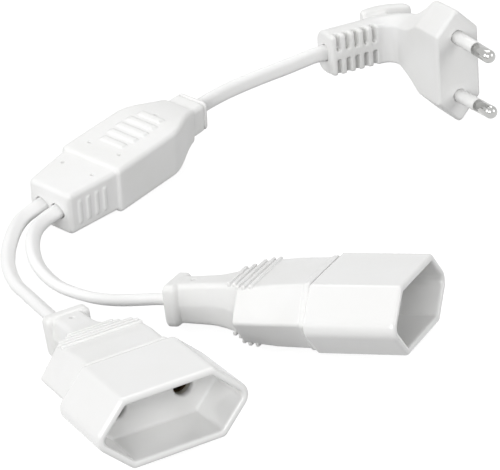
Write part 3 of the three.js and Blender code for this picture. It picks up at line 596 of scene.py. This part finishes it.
# Colours of the parts inside
INNER = (0.62, 0.60, 0.54)
BLUE = (0.06, 0.18, 0.5)
BROWN = (0.16, 0.08, 0.04)
# The contacts' bronze is darkened far below real metal, as painted shade for the deep contact holes they sit
# in
SHADE_DARKENED_BRONZE = (0.16, 0.11, 0.06)
WHITE = (1.0, 1.0, 1.0, 1.0)

# The camera's lens and sensor in millimetres, its place in metres and where it looks
LENS, SENSOR = 201.6, 36.0
CAMERA_PLACE = (-0.0072, -0.687, 0.33322)
CAMERA_FORWARD = (0.0, 0.9024, -0.4308)
CAMERA_RIGHT = (0.9970, -0.0334, -0.0700)

# Name, place in metres, width, height and power; every lamp looks at the middle of the row
LAMPS = [
    ("key", (-0.75, -1.9, 1.0), 1.3, 1.1, 30.0),
    ("top", (0.0, 0.75, 1.3), 1.1, 1.1, 7.0),
    ("right", (1.3, -0.6, 0.7), 0.8, 0.8, 7.5),
    ("left", (-1.3, -0.1, 0.6), 0.9, 0.9, 6.5),
]

# Half the floor's side, the light it adds where it is seen, and the world's light as it falls on
# pieces and as it is seen
FLOOR_SIZE = 6.0
FLOOR_GLOW = 0.90
WORLD_DIM, WORLD_BRIGHT = 0.26, 1.0


class SPLITTER_OT_finishes(bpy.types.Operator):
    """Make the materials of every piece"""
    bl_idname = "splitter.finishes"
    bl_label = "Make Finishes"

    def execute(self, context):
        colours = context.scene.splitter.colours
        housing = tuple(colours.housing)
        shroud = tuple(colours.shroud)
        FINISHES.clear()
        FINISHES.update({
            "soft_pvc": moulded("soft white plastic", housing, 0.42, 0.0, 2200.0, 0.00004),
            "shroud_plastic": moulded("glossy white plastic", shroud, 0.24, 0.35, 1500.0, 0.00001, 0.015),
            "pin_sleeve": moulded("pin sleeve plastic", housing, 0.35, 0.1, 2500.0, 0.00002),
            "inner_plastic": moulded("inner plastic", INNER, 0.5, 0.0, 1800.0, 0.00003),
            "core_blue": moulded("blue core insulation", BLUE, 0.45, 0.0, 2500.0, 0.00002),
            "core_brown": moulded("brown core insulation", BROWN, 0.45, 0.0, 2500.0, 0.00002),
            "cord_pvc": cord_sheath("cord sheath", tuple(colours.cord)),
            "pin_metal": drawn_metal("bright nickel", tuple(colours.pins), 0.09, 0.000003),
            # Contact metal: a bronze darkened as painted shade for the deep holes
            "contact_metal": drawn_metal("contact bronze with painted shade", SHADE_DARKENED_BRONZE, 0.35, 0.00001),
        })
        parts = {entry["node"]: entry["material_slot"] for entry in frame["record"]["subparts"]}
        for name, node in frame["nodes"].items():
            node.data.materials.clear()
            node.data.materials.append(FINISHES[parts[name]])
        return {"FINISHED"}


class SPLITTER_OT_stage(bpy.types.Operator):
    """Set up the camera, the floor and the studio lights"""
    bl_idname = "splitter.stage"
    bl_label = "Make Stage"

    def execute(self, context):
        scene = context.scene
        self.camera(scene)
        self.floor(scene)
        for name, place, width, height, power in LAMPS:
            self.lamp(scene, name, place, width, height, power)
        self.world(scene)
        scene.view_settings.view_transform = "Standard"
        return {"FINISHED"}

    def camera(self, scene):
        data = bpy.data.cameras.new("camera")
        data.lens = LENS
        data.sensor_width = SENSOR
        data.sensor_fit = "HORIZONTAL"
        data.clip_start = 0.05
        data.clip_end = 20.0
        camera = bpy.data.objects.new("camera", data)
        scene.collection.objects.link(camera)
        forward = Vector(CAMERA_FORWARD).normalized()
        right = Vector(CAMERA_RIGHT)
        right = (right - forward * right.dot(forward)).normalized()
        above = right.cross(forward)
        turn = Matrix((right, above, -forward)).transposed().to_4x4()
        camera.matrix_world = Matrix.Translation(CAMERA_PLACE) @ turn
        scene.camera = camera

    def floor(self, scene):
        """A wide floor that is nearly white where it is seen and keeps the lead's shadow."""
        bm = bmesh.new()
        bmesh.ops.create_grid(bm, x_segments=1, y_segments=1, size=FLOOR_SIZE)
        floor = working("floor", bm)
        build = Finish(bpy.data.materials.new("pale floor"))
        shown = build.seen_or_mirrored()
        place = build.node("ShaderNodeTexCoord", output="Object")
        colour = tuple(scene.splitter.colours.floor)
        tint = build.blend(build.noise(place, 3.0), scaled(colour, 0.985), colour)
        ground = build.node("ShaderNodeBsdfDiffuse", {}, {"Color": tint})
        glow = build.node("ShaderNodeEmission", {}, {"Color": WHITE, "Strength": FLOOR_GLOW})
        lifted = build.node("ShaderNodeAddShader", {}, {0: ground, 1: glow})
        mixed = build.node("ShaderNodeMixShader", {}, {0: shown, 1: ground, 2: lifted})
        floor.data.materials.append(build.close(mixed))

    def lamp(self, scene, name, place, width, height, power):
        data = bpy.data.lights.new(name, "AREA")
        data.shape = "RECTANGLE"
        data.size = width
        data.size_y = height
        data.energy = power
        lamp = bpy.data.objects.new(name, data)
        scene.collection.objects.link(lamp)
        aim = (-Vector(place)).to_track_quat("-Z", "Y").to_matrix().to_4x4()
        lamp.matrix_world = Matrix.Translation(place) @ aim

    def world(self, scene):
        """A white world that is dimmer as a light than as a background."""
        build = Finish(bpy.data.worlds.new("studio"))
        dim = build.node("ShaderNodeBackground", {}, {"Color": WHITE, "Strength": WORLD_DIM})
        bright = build.node("ShaderNodeBackground", {}, {"Color": WHITE, "Strength": WORLD_BRIGHT})
        mixed = build.node("ShaderNodeMixShader", {}, {0: build.seen_or_mirrored(), 1: dim, 2: bright})
        scene.world = build.close(mixed, "ShaderNodeOutputWorld")


# Cords

# Which point of a route lies where the cord leaves its housing, and the UV length of a cord
EXIT_POINT = 2
UV_LENGTH = 10.0


class SPLITTER_OT_cords(bpy.types.Operator):
    """Lay the main cord and the two branch cords"""
    bl_idname = "splitter.cords"
    bl_label = "Lay Cords"

    def execute(self, context):
        sizes = context.scene.splitter.cord
        for name, points in ROUTES.items():
            route, length = smooth_route(points, sizes.pitch / MM)
            section = cord_section(name)
            piece = shell(name + "_sheath", sweep_rings(route, section))
            self.unwrap(piece, route, len(section))
            path = [tuple(point * MM) for point in route]
            exit_point = tuple(value * MM for value in points[EXIT_POINT])
            finish_piece(piece, name + "_sheath", Matrix.Scale(MM, 4), FINISHES["cord_pvc"],
                         "cord_pvc", name)
            length * MM
            cord_width(name)
        return {"FINISHED"}

    def unwrap(self, piece, route, around):
        """A UV map whose u runs along the cord and v round it."""
        mesh = piece.data
        layer = mesh.uv_layers.new(name="along")
        count = len(route)
        for loop in mesh.loops:
            ring, spoke = divmod(loop.vertex_index, around)
            along = min(ring, count - 1) / count * UV_LENGTH
            layer.data[loop.index].uv = (along, abs(2 * spoke / around - 1))


# Sockets

# Half width of the flat, half thickness and half width at the ridge, in millimetres
SHROUD_FLAT, SHROUD_THICK, SHROUD_TIP = 12.037, 9.2, 21.237
RECESS_FLAT, RECESS_THICK, RECESS_TIP = 11.25, 7.3, 18.55
GRIP_FLAT, GRIP_THICK, GRIP_TIP = 10.7, 7.3, 16.8
NECK_FLAT, NECK_THICK, NECK_TIP = 4.0, 5.8, 4.9

# How far the flat and the ridge of a hexagon move in where its broad sides move in by one
FLAT_SHARE, TIP_SHARE = 0.41, 1.41

# Half the distance between the contact holes; where the grip's shoulder starts and its length;
# the first rib's distance behind the shroud and the distance between ribs
CONTACT_OFFSET = 9.0
SHOULDER_AT, SHOULDER_LENGTH = 20.2, 12.0
RIB_AT, RIB_SPACING = 16.6, 2.0


def shroud_piece(name):
    """The hard hexagonal shroud with its recess and contact holes."""
    sizes = bpy.context.scene.splitter.socket
    length = sizes.shroud_length / MM
    floor = length - sizes.recess_depth / MM
    sections = [(0.0, 0.35), (0.35, 0.0), (length - 0.9, 0.0), (length - 0.55, 0.08),
                (length - 0.25, 0.28), (length, 0.65)]
    outer = shell(name, along_x([
        (x, hex_outline(SHROUD_FLAT - inset * FLAT_SHARE, SHROUD_THICK - inset,
                        SHROUD_TIP - inset * TIP_SHARE, 3.6, 1.2, 8)) for x, inset in sections]))
    recess = [(floor, 0.35), (floor + 0.35, 0.0), (length - 0.7, 0.0), (length - 0.3, -0.12),
              (length, -0.45), (length + 1.0, -1.4)]
    inner = [
        shell(name + "_recess", along_x([
            (x, hex_outline(RECESS_FLAT - inset * FLAT_SHARE, RECESS_THICK - inset,
                            RECESS_TIP - inset * TIP_SHARE, 1.7, 0.8, 6)) for x, inset in recess])),
        prism(name + "_pocket", -1.0, floor - 2.2,
              hex_outline(RECESS_FLAT, RECESS_THICK, RECESS_TIP, 1.7, 0.5, 4)),
    ]
    for side in (-1, 1):
        hole = spun(name + "_hole", [(floor - 4.0, 0.0), (floor - 4.0, 2.5), (floor - 0.45, 2.5),
                                     (floor + 0.05, 3.0), (floor + 1.0, 3.0), (floor + 1.0, 0.0)])
        hole.data.transform(Matrix.Translation((0.0, side * CONTACT_OFFSET, 0.0)))
        inner.append(hole)
    combine(outer, "DIFFERENCE", inner)
    soften(outer, 0.3, 3)
    return outer


GRIP_ROWS = [
    (0.3, 10.7, 9.05, 17.5), (1.8, 10.7, 9.05, 17.5), (2.1, 10.35, 8.7, 16.8), (11.1, 10.7, 8.3, 16.8),
    (20.2, 10.7, 7.3, 16.8),
]


def grip_rows():
    """Distance behind the shroud, half width of the flat, half thickness, half width at the ridge."""
    rows = list(GRIP_ROWS)
    for step in range(1, 13):
        share = step / 12
        fall = 1 - math.sqrt(1 - (1 - share) ** 2)
        rows.append((SHOULDER_AT + SHOULDER_LENGTH * share,
                     NECK_FLAT + (GRIP_FLAT - NECK_FLAT) * (fall * 0.8 + (1 - share) * 0.2),
                     NECK_THICK + (GRIP_THICK - NECK_THICK) * (1 - share) ** 1.2,
                     NECK_TIP + (GRIP_TIP - NECK_TIP) * fall))
    rows.append((bpy.context.scene.splitter.socket.grip_length / MM, 3.9, 5.4, 4.9))
    return rows


def row_at(rows, x):
    """Values of a table at a place between its rows, on a straight line."""
    index = next((i for i in range(1, len(rows)) if rows[i][0] >= x), len(rows) - 1)
    low, high = rows[index - 1], rows[index]
    share = max(0.0, min(1.0, (x - low[0]) / (high[0] - low[0])))
    return [a + (b - a) * share for a, b in zip(low[1:], high[1:])]


def grip_piece(name, housing, cord):
    """The soft grip behind a shroud, with its flange, ribs and space for the cord."""
    sizes = bpy.context.scene.splitter.socket
    rows = grip_rows()
    length = sizes.grip_length / MM
    body = shell(name, along_x([
        (-x, hex_outline(flat, thick, tip, 0.9, 1.6, 5)) for x, flat, thick, tip in rows]))
    edges = [(-length - 3.6, 1.0), (-length - 3.3, 0.45), (-length - 2.7, 0.0), (-length - 0.4, 0.0),
             (-length + 0.2, 0.45), (-length + 0.5, 1.0)]
    flange = shell(name + "_flange", along_x([
        (x, box_outline(6.2 - inset, 5.7 - inset, 1.6, 5)) for x, inset in edges]))
    combine(body, "UNION", [flange])
    cavity = [
        prism(name + "_pocket", -13.6, 1.0, box_outline(12.5, 4.0, 1.0)),
        shell(name + "_throat", along_x([
            (-32.7, box_outline(3.0, 2.4, 0.8)), (-29.1, box_outline(3.6, 2.6, 0.8)),
            (-18.6, box_outline(6.0, 3.0, 0.8)), (-13.5, box_outline(11.0, 3.4, 0.8))])),
        cord_bore(cord, housing),
    ]
    combine(body, "DIFFERENCE", cavity)
    soften(body, 0.27, 3)
    ribs = []
    for rib in range(sizes.rib_count):
        x = RIB_AT + rib * RIB_SPACING
        flat, thick, _ = row_at(rows, x)
        for up in (1, -1):
            ribs.append([
                [Vector((-x + at, p[0], p[1] + up * thick))
                 for p in box_outline(flat + 0.3 - inset, 0.6 - inset, 0.4)]
                for at, inset in ((-0.5, 0.15), (-0.3, 0.0), (0.3, 0.0), (0.5, 0.15))])
    combine(body, "UNION", [shell(name + "_ribs", *ribs)])
    combine(body, "DIFFERENCE", [rod(name + "_dimple", "Z", 4.6, 8.0, 0.8, (-(length - 3.4), 0.0))])
    return body


class SPLITTER_OT_sockets(bpy.types.Operator):
    """Make both sockets: hard shrouds and soft grips"""
    bl_idname = "splitter.sockets"
    bl_label = "Make Sockets"

    def execute(self, context):
        for side in ("a", "b"):
            housing = "socket_" + side
            finish_piece(shroud_piece(housing + "_shell"), housing + "_shell", placement(housing),
                         FINISHES["shroud_plastic"], "shroud_plastic", housing + "_shroud")
            finish_piece(grip_piece(housing + "_overmould", housing, "branch_cord_" + side),
                         housing + "_overmould", placement(housing),
                         FINISHES["soft_pvc"], "soft_pvc", housing + "_grip")
        return {"FINISHED"}


# Junction

# Where the body ends being straight and where it ends, the collar's length, the body's and the front
# block's half thickness, the body's half width at its end and the block's at its front and back
STRAIGHT, BODY_END, COLLAR = 41.5, 56.2, 7.4
BODY_THICK, BLOCK_THICK = 7.3, 6.6
END_WIDTH, BLOCK_FRONT, BLOCK_BACK = 5.9, 7.7, 10.1
ROUNDING = 1.4

# Places of the small round dimples on the junction's top: along and across
DIMPLES = ((46.3, 0.0), (23.8, 5.5), (23.8, -5.5), (12.25, 5.5), (12.25, -5.5))


def junction_piece(name):
    """The moulded junction: front block, ribbed body and collar, with space for the three cords."""
    sizes = bpy.context.scene.splitter.junction
    block_length = sizes.block_length / MM
    width = sizes.body_half_width / MM
    length = BODY_END + COLLAR
    soft = [(0.0, 1.0), (0.3, 0.45), (0.9, 0.0)]
    sections = [(x, box_outline(BLOCK_FRONT + (BLOCK_BACK - BLOCK_FRONT) * x / block_length - inset,
                                BLOCK_THICK - inset, ROUNDING, 6)) for x, inset in soft]
    sections.append((block_length + 1.0, box_outline(10.2, BLOCK_THICK, ROUNDING, 6)))
    front = shell(name, along_x(sections))
    rows = [(block_length, width - 0.6, BODY_THICK - 0.6),
            (block_length + 0.3, width - 0.15, BODY_THICK - 0.15),
            (block_length + 0.8, width, BODY_THICK), (STRAIGHT, width, BODY_THICK)]
    for step in range(1, 19):
        share = step / 18
        ease = share * share * (3 - 2 * share)
        rows.append((STRAIGHT + (BODY_END - STRAIGHT) * share,
                     width + (END_WIDTH - width) * (ease * 0.7 + share * 0.3),
                     BODY_THICK + (5.6 - BODY_THICK) * share ** 2))
    rows.append((BODY_END + 0.05, END_WIDTH - 0.5, 5.1))
    body = shell(name + "_body", along_x([(x, box_outline(w, h, ROUNDING, 6)) for x, w, h in rows]))
    collar = shell(name + "_collar", along_x([
        (BODY_END - 1.0, box_outline(5.3, 4.7, ROUNDING, 5)),
        (length - 0.9, box_outline(5.3, 4.7, ROUNDING, 5)),
        (length - 0.3, box_outline(4.9, 4.3, 1.3, 5)), (length, box_outline(4.3, 3.7, 1.2, 5))]))
    extra = [body, collar]
    for rib in range(sizes.rib_count):
        offset = rib - (sizes.rib_count - 1) / 2
        x = 27.7 + rib * 4.1
        reach = 5.2 - 0.26 * offset ** 2
        extra.append(prism(name + "_rib", x - 1.0, x + 1.0, box_outline(reach, BODY_THICK + 0.5, 0.5)))
    for bar in range(4):
        x = block_length / 2 - 0.6 + (bar - 1.5) * 3.0
        half = BLOCK_FRONT + (BLOCK_BACK - BLOCK_FRONT) / block_length * x + 0.35
        extra.append(block(name + "_bar", (x - 0.5, x + 0.5), (-half, half), (-3.6, 3.6)))
    combine(front, "UNION", extra)
    groove = prism(name + "_groove", length - 2.24, length - 1.44, box_outline(7.5, 7.0, 1.0))
    core = prism(name + "_core", BODY_END, length + 1.0, box_outline(4.7, 4.1, 1.2))
    combine(groove, "DIFFERENCE", [core])
    cuts = [
        groove,
        block(name + "_front_space", (11.4, 21.0), (-5.1, 5.1), (-3.65, 3.65)),
        block(name + "_middle_space", (20.0, 42.5), (-5.1, 5.1), (-5.6, 5.6)),
        block(name + "_rear_space", (41.5, 50.6), (-1.95, 1.95), (-3.65, 3.65)),
        cord_bore("main_cord", "junction"), cord_bore("branch_cord_a", "junction"),
        cord_bore("branch_cord_b", "junction"),
    ]
    dimples = []
    for x, y in DIMPLES:
        top = BODY_THICK if x > block_length else BLOCK_THICK
        dimples.append([[Vector((x + 0.6 * math.cos(turn), y + 0.6 * math.sin(turn), z))
                         for turn in (math.pi / 8 * step for step in range(16))]
                        for z in (top - 0.9, top + 2.0)])
    combine(front, "DIFFERENCE", cuts)
    soften(front, 0.27, 3)
    combine(front, "DIFFERENCE", [shell(name + "_dimples", *dimples)])
    return front


class SPLITTER_OT_junction(bpy.types.Operator):
    """Make the moulded junction"""
    bl_idname = "splitter.junction"
    bl_label = "Make Junction"

    def execute(self, context):
        finish_piece(junction_piece("junction_moulding"), "junction_moulding", placement("junction"),
                     FINISHES["soft_pvc"], "soft_pvc", "junction_body")
        return {"FINISHED"}


# Plug

# Where the plug's line starts to turn, the turn's radius, and the arm's length and half depth
TURN_START, TURN_RADIUS, ARM_LENGTH, ARM_DEPTH = 24.0, 10.0, 26.5, 5.0
ARM_X = TURN_START + TURN_RADIUS
TURN_LENGTH = math.pi / 2 * TURN_RADIUS
ARM_END = TURN_START + TURN_LENGTH + ARM_LENGTH - TURN_RADIUS

# Distance from the face, half height at the flat, half height at the ridge, half depth inside
# the turn, half depth outside, ridge rounding, outer rounding
PLUG_ROWS = [
    (0.0, 10.2, 17.2, 6.5, 6.5, 1.1, 0.8), (0.35, 10.6, 17.8, 6.95, 6.95, 1.1, 0.8),
    (0.9, 10.9, 18.1, 7.2, 7.2, 1.1, 0.8), (11.6, 10.7, 17.9, 7.2, 7.2, 1.6, 1.0),
    (14.5, 9.4, 15.9, 7.1, 7.1, 2.0, 1.2), (17.5, 7.9, 13.6, 6.9, 6.9, 2.0, 1.6),
    (21.0, 6.9, 11.2, 6.5, 6.6, 2.0, 2.0), (24.0, 6.4, 9.5, 6.1, 6.3, 2.0, 2.4),
    (TURN_START + TURN_LENGTH * 0.3, 6.2, 8.2, 5.6, 6.0, 2.0, 2.8),
    (TURN_START + TURN_LENGTH * 0.6, 6.1, 7.4, 5.2, 5.6, 2.0, 3.2),
    (TURN_START + TURN_LENGTH, 6.3, 6.7, 5.0, 5.0, 1.0, 3.6),
    (ARM_END - 0.9, 6.3, 6.7, 5.0, 5.0, 1.0, 3.6),
    (ARM_END - 0.3, 6.0, 6.4, 4.7, 4.7, 1.0, 3.4), (ARM_END, 5.5, 5.9, 4.2, 4.2, 1.0, 3.0),
]


# The inner space of the plug: distance from the face, half height, half depth
CHANNEL_ROWS = [
    (8.6, 11.6, 3.2), (13.5, 11.0, 2.8), (17.5, 8.8, 2.4), (21.0, 6.6, 2.2), (TURN_START, 5.2, 2.2),
    (TURN_START + TURN_LENGTH * 0.3, 4.3, 2.2), (TURN_START + TURN_LENGTH * 0.6, 3.6, 2.2),
    (TURN_START + TURN_LENGTH, 3.1, 2.1), (ARM_END - 6.9, 3.0, 2.0),
]

# Distance between the pins at the face and at their tips, and the length over which it changes
PITCH_AT_FACE, PITCH_AT_TIP, TILT_LENGTH = 18.6, 17.5, 17.0

# The first slot of the strain relief, the distance between slots and half a slot's width
SLOT_AT, SLOT_SPACING, SLOT_HALF = -11.6, 3.1, 0.75


def plug_ring(distance, points):
    """Places an outline across the plug's line, which runs back and turns into the arm."""
    if distance <= TURN_START:
        x, y, turn = -distance, 0.0, 0.0
    elif distance <= TURN_START + TURN_LENGTH:
        turn = (distance - TURN_START) / TURN_RADIUS
        x = -TURN_START - TURN_RADIUS * math.sin(turn)
        y = -TURN_RADIUS * (1 - math.cos(turn))
    else:
        x, y, turn = -ARM_X, -TURN_RADIUS - (distance - TURN_START - TURN_LENGTH), math.pi / 2
    return [Vector((x - p[0] * math.sin(turn), y + p[0] * math.cos(turn), p[1])) for p in points]


def plug_section(flat, tip, inside, outside, ridge, back):
    """The plug's outline from one row of its table."""
    return outline([(-inside, -flat, 0.8), (0, -tip, ridge), (outside, -flat, back),
                    (outside, flat, back), (0, tip, ridge), (-inside, flat, 0.8)], 5)


def pin_matrix(side):
    """A pin's place at the face; the two pins lean a little towards each other."""
    tilt = math.atan2((PITCH_AT_FACE - PITCH_AT_TIP) / 2, TILT_LENGTH)
    return Matrix.Translation((0, 0, side * PITCH_AT_FACE / 2)) @ Matrix.Rotation(side * tilt, 4, "Y")


def plug_piece(name):
    """The angled plug's body with its thumb tab, strain relief and inner space."""
    sizes = bpy.context.scene.splitter.plug
    places = [0.0, 0.35, 0.9, 6.0, *places_between(11.6, TURN_START + TURN_LENGTH, 40),
              *places_between(TURN_START + TURN_LENGTH, ARM_END - 0.9, 4)[1:], ARM_END - 0.3, ARM_END]
    body = shell(name, [plug_ring(at, plug_section(*blend_rows(PLUG_ROWS, at))) for at in places])
    back = -ARM_X - ARM_DEPTH
    tab_rings = []
    for step in range(17):
        share = step / 16
        y = -TURN_RADIUS + share * 17.0
        bow = 1.2 * (1 - (2 * share - 1) ** 2)
        half = 7.5 - 1.6 * share ** 2
        pinch = 0.5 if step in (0, 16) else 0.0
        tab_rings.append([Vector((back - 0.9 - bow + p[0], y, p[1]))
                          for p in box_outline(1.5 - pinch, half - pinch, 0.9, 4)])
    extra = [
        shell(name + "_tab", tab_rings),
        block(name + "_web", (back - 0.6, -ARM_X), (-TURN_RADIUS, -TURN_RADIUS + 8.5), (-5.4, 5.4)),
    ]
    combine(body, "UNION", extra)
    cuts = [
        block(name + "_pocket", (-9.2, -3.0), (-4.2, 4.2), (-12.3, 12.3)),
        shell(name + "_channel", [plug_ring(at, box_outline(depth, height, 0.8))
                                  for at, height, depth in CHANNEL_ROWS]),
        cord_bore("main_cord", "plug"),
    ]
    for side in (-1, 1):
        bore = rod(name + "_pin_bore", "X", -4.0, 1.0, 2.0)
        bore.data.transform(pin_matrix(side))
        cuts.append(bore)
    near, far = -ARM_X + ARM_DEPTH, -ARM_X - ARM_DEPTH
    for slot in range(sizes.slot_count):
        y = SLOT_AT - slot * SLOT_SPACING
        across = (y - SLOT_HALF, y + SLOT_HALF)
        for heights in ((1.3, 9.6), (-9.6, -1.3)):
            cuts.append(block(name + "_slot", (near - 2.3, near + 3.0), across, heights))
            cuts.append(block(name + "_slot", (far - 3.0, far + 2.3), across, heights))
    combine(body, "DIFFERENCE", cuts)
    soften(body, 0.28, 3)
    return body


class SPLITTER_OT_plug(bpy.types.Operator):
    """Make the angled plug, its pins and their sleeves"""
    bl_idname = "splitter.plug"
    bl_label = "Make Plug"

    def execute(self, context):
        sizes = context.scene.splitter.plug
        finish_piece(plug_piece("plug_moulding"), "plug_moulding", placement("plug"),
                     FINISHES["soft_pvc"], "soft_pvc", "plug_body")
        radius = sizes.pin_diameter / MM / 2
        length = sizes.pin_length / MM
        dome = [(length - radius + radius * math.sin(angle), radius * math.cos(angle))
                for angle in (math.pi / 2 * step / 12 for step in range(13))]
        dome[-1] = (length, 0.0)
        for hand, side in (("upper", 1), ("lower", -1)):
            pin = spun("pin_" + hand, [(-11.0, 0.0), (-11.0, 1.5), (10.15, 1.5), (10.3, radius - 0.15),
                                       (10.45, radius)] + dome)
            finish_piece(pin, "pin_" + hand, placement("plug") @ pin_matrix(side),
                         FINISHES["pin_metal"], "pin_metal", "plug_pin_" + hand)
            sleeve = spun("pin_cover_" + hand, [
                (-5.7, 1.6), (-5.7, radius), (9.8, radius), (9.95, radius - 0.1), (10.0, radius - 0.25),
                (10.0, 1.6), (-5.7, 1.6)])
            finish_piece(sleeve, "pin_cover_" + hand, placement("plug") @ pin_matrix(side),
                         FINISHES["pin_sleeve"], "pin_sleeve", "plug_pin_sleeve_" + hand)
        return {"FINISHED"}


class SPLITTER_PT_panel(bpy.types.Panel):
    """Sizes, colours and makers of the splitter lead"""
    bl_idname = "SPLITTER_PT_panel"
    bl_label = "Power Cord Splitter"
    bl_space_type = "VIEW_3D"
    bl_region_type = "UI"
    bl_category = "Splitter"

    def draw(self, context):
        settings = context.scene.splitter
        for group in (settings.cord, settings.socket, settings.junction, settings.plug, settings.colours):
            box = self.layout.box()
            for name in group.__annotations__:
                box.prop(group, name)
        for operator in OPERATORS:
            self.layout.operator(operator.bl_idname)


OPERATORS = (SPLITTER_OT_finishes, SPLITTER_OT_stage, SPLITTER_OT_cords, SPLITTER_OT_sockets,
             SPLITTER_OT_junction, SPLITTER_OT_plug)
CLASSES = (CordSizes, SocketSizes, JunctionSizes, PlugSizes, Colours, SplitterSettings,
           *OPERATORS, SPLITTER_PT_panel)


def register():
    for cls in CLASSES:
        bpy.utils.register_class(cls)
    bpy.types.Scene.splitter = PointerProperty(type=SplitterSettings)


def unregister():
    del bpy.types.Scene.splitter
    for cls in reversed(CLASSES):
        bpy.utils.unregister_class(cls)


def main():
    register()
    bpy.ops.splitter.finishes()
    bpy.ops.splitter.stage()
    bpy.ops.splitter.cords()
    bpy.ops.splitter.sockets()
    bpy.ops.splitter.junction()
    bpy.ops.splitter.plug()


if __name__ == "__main__":
    main()
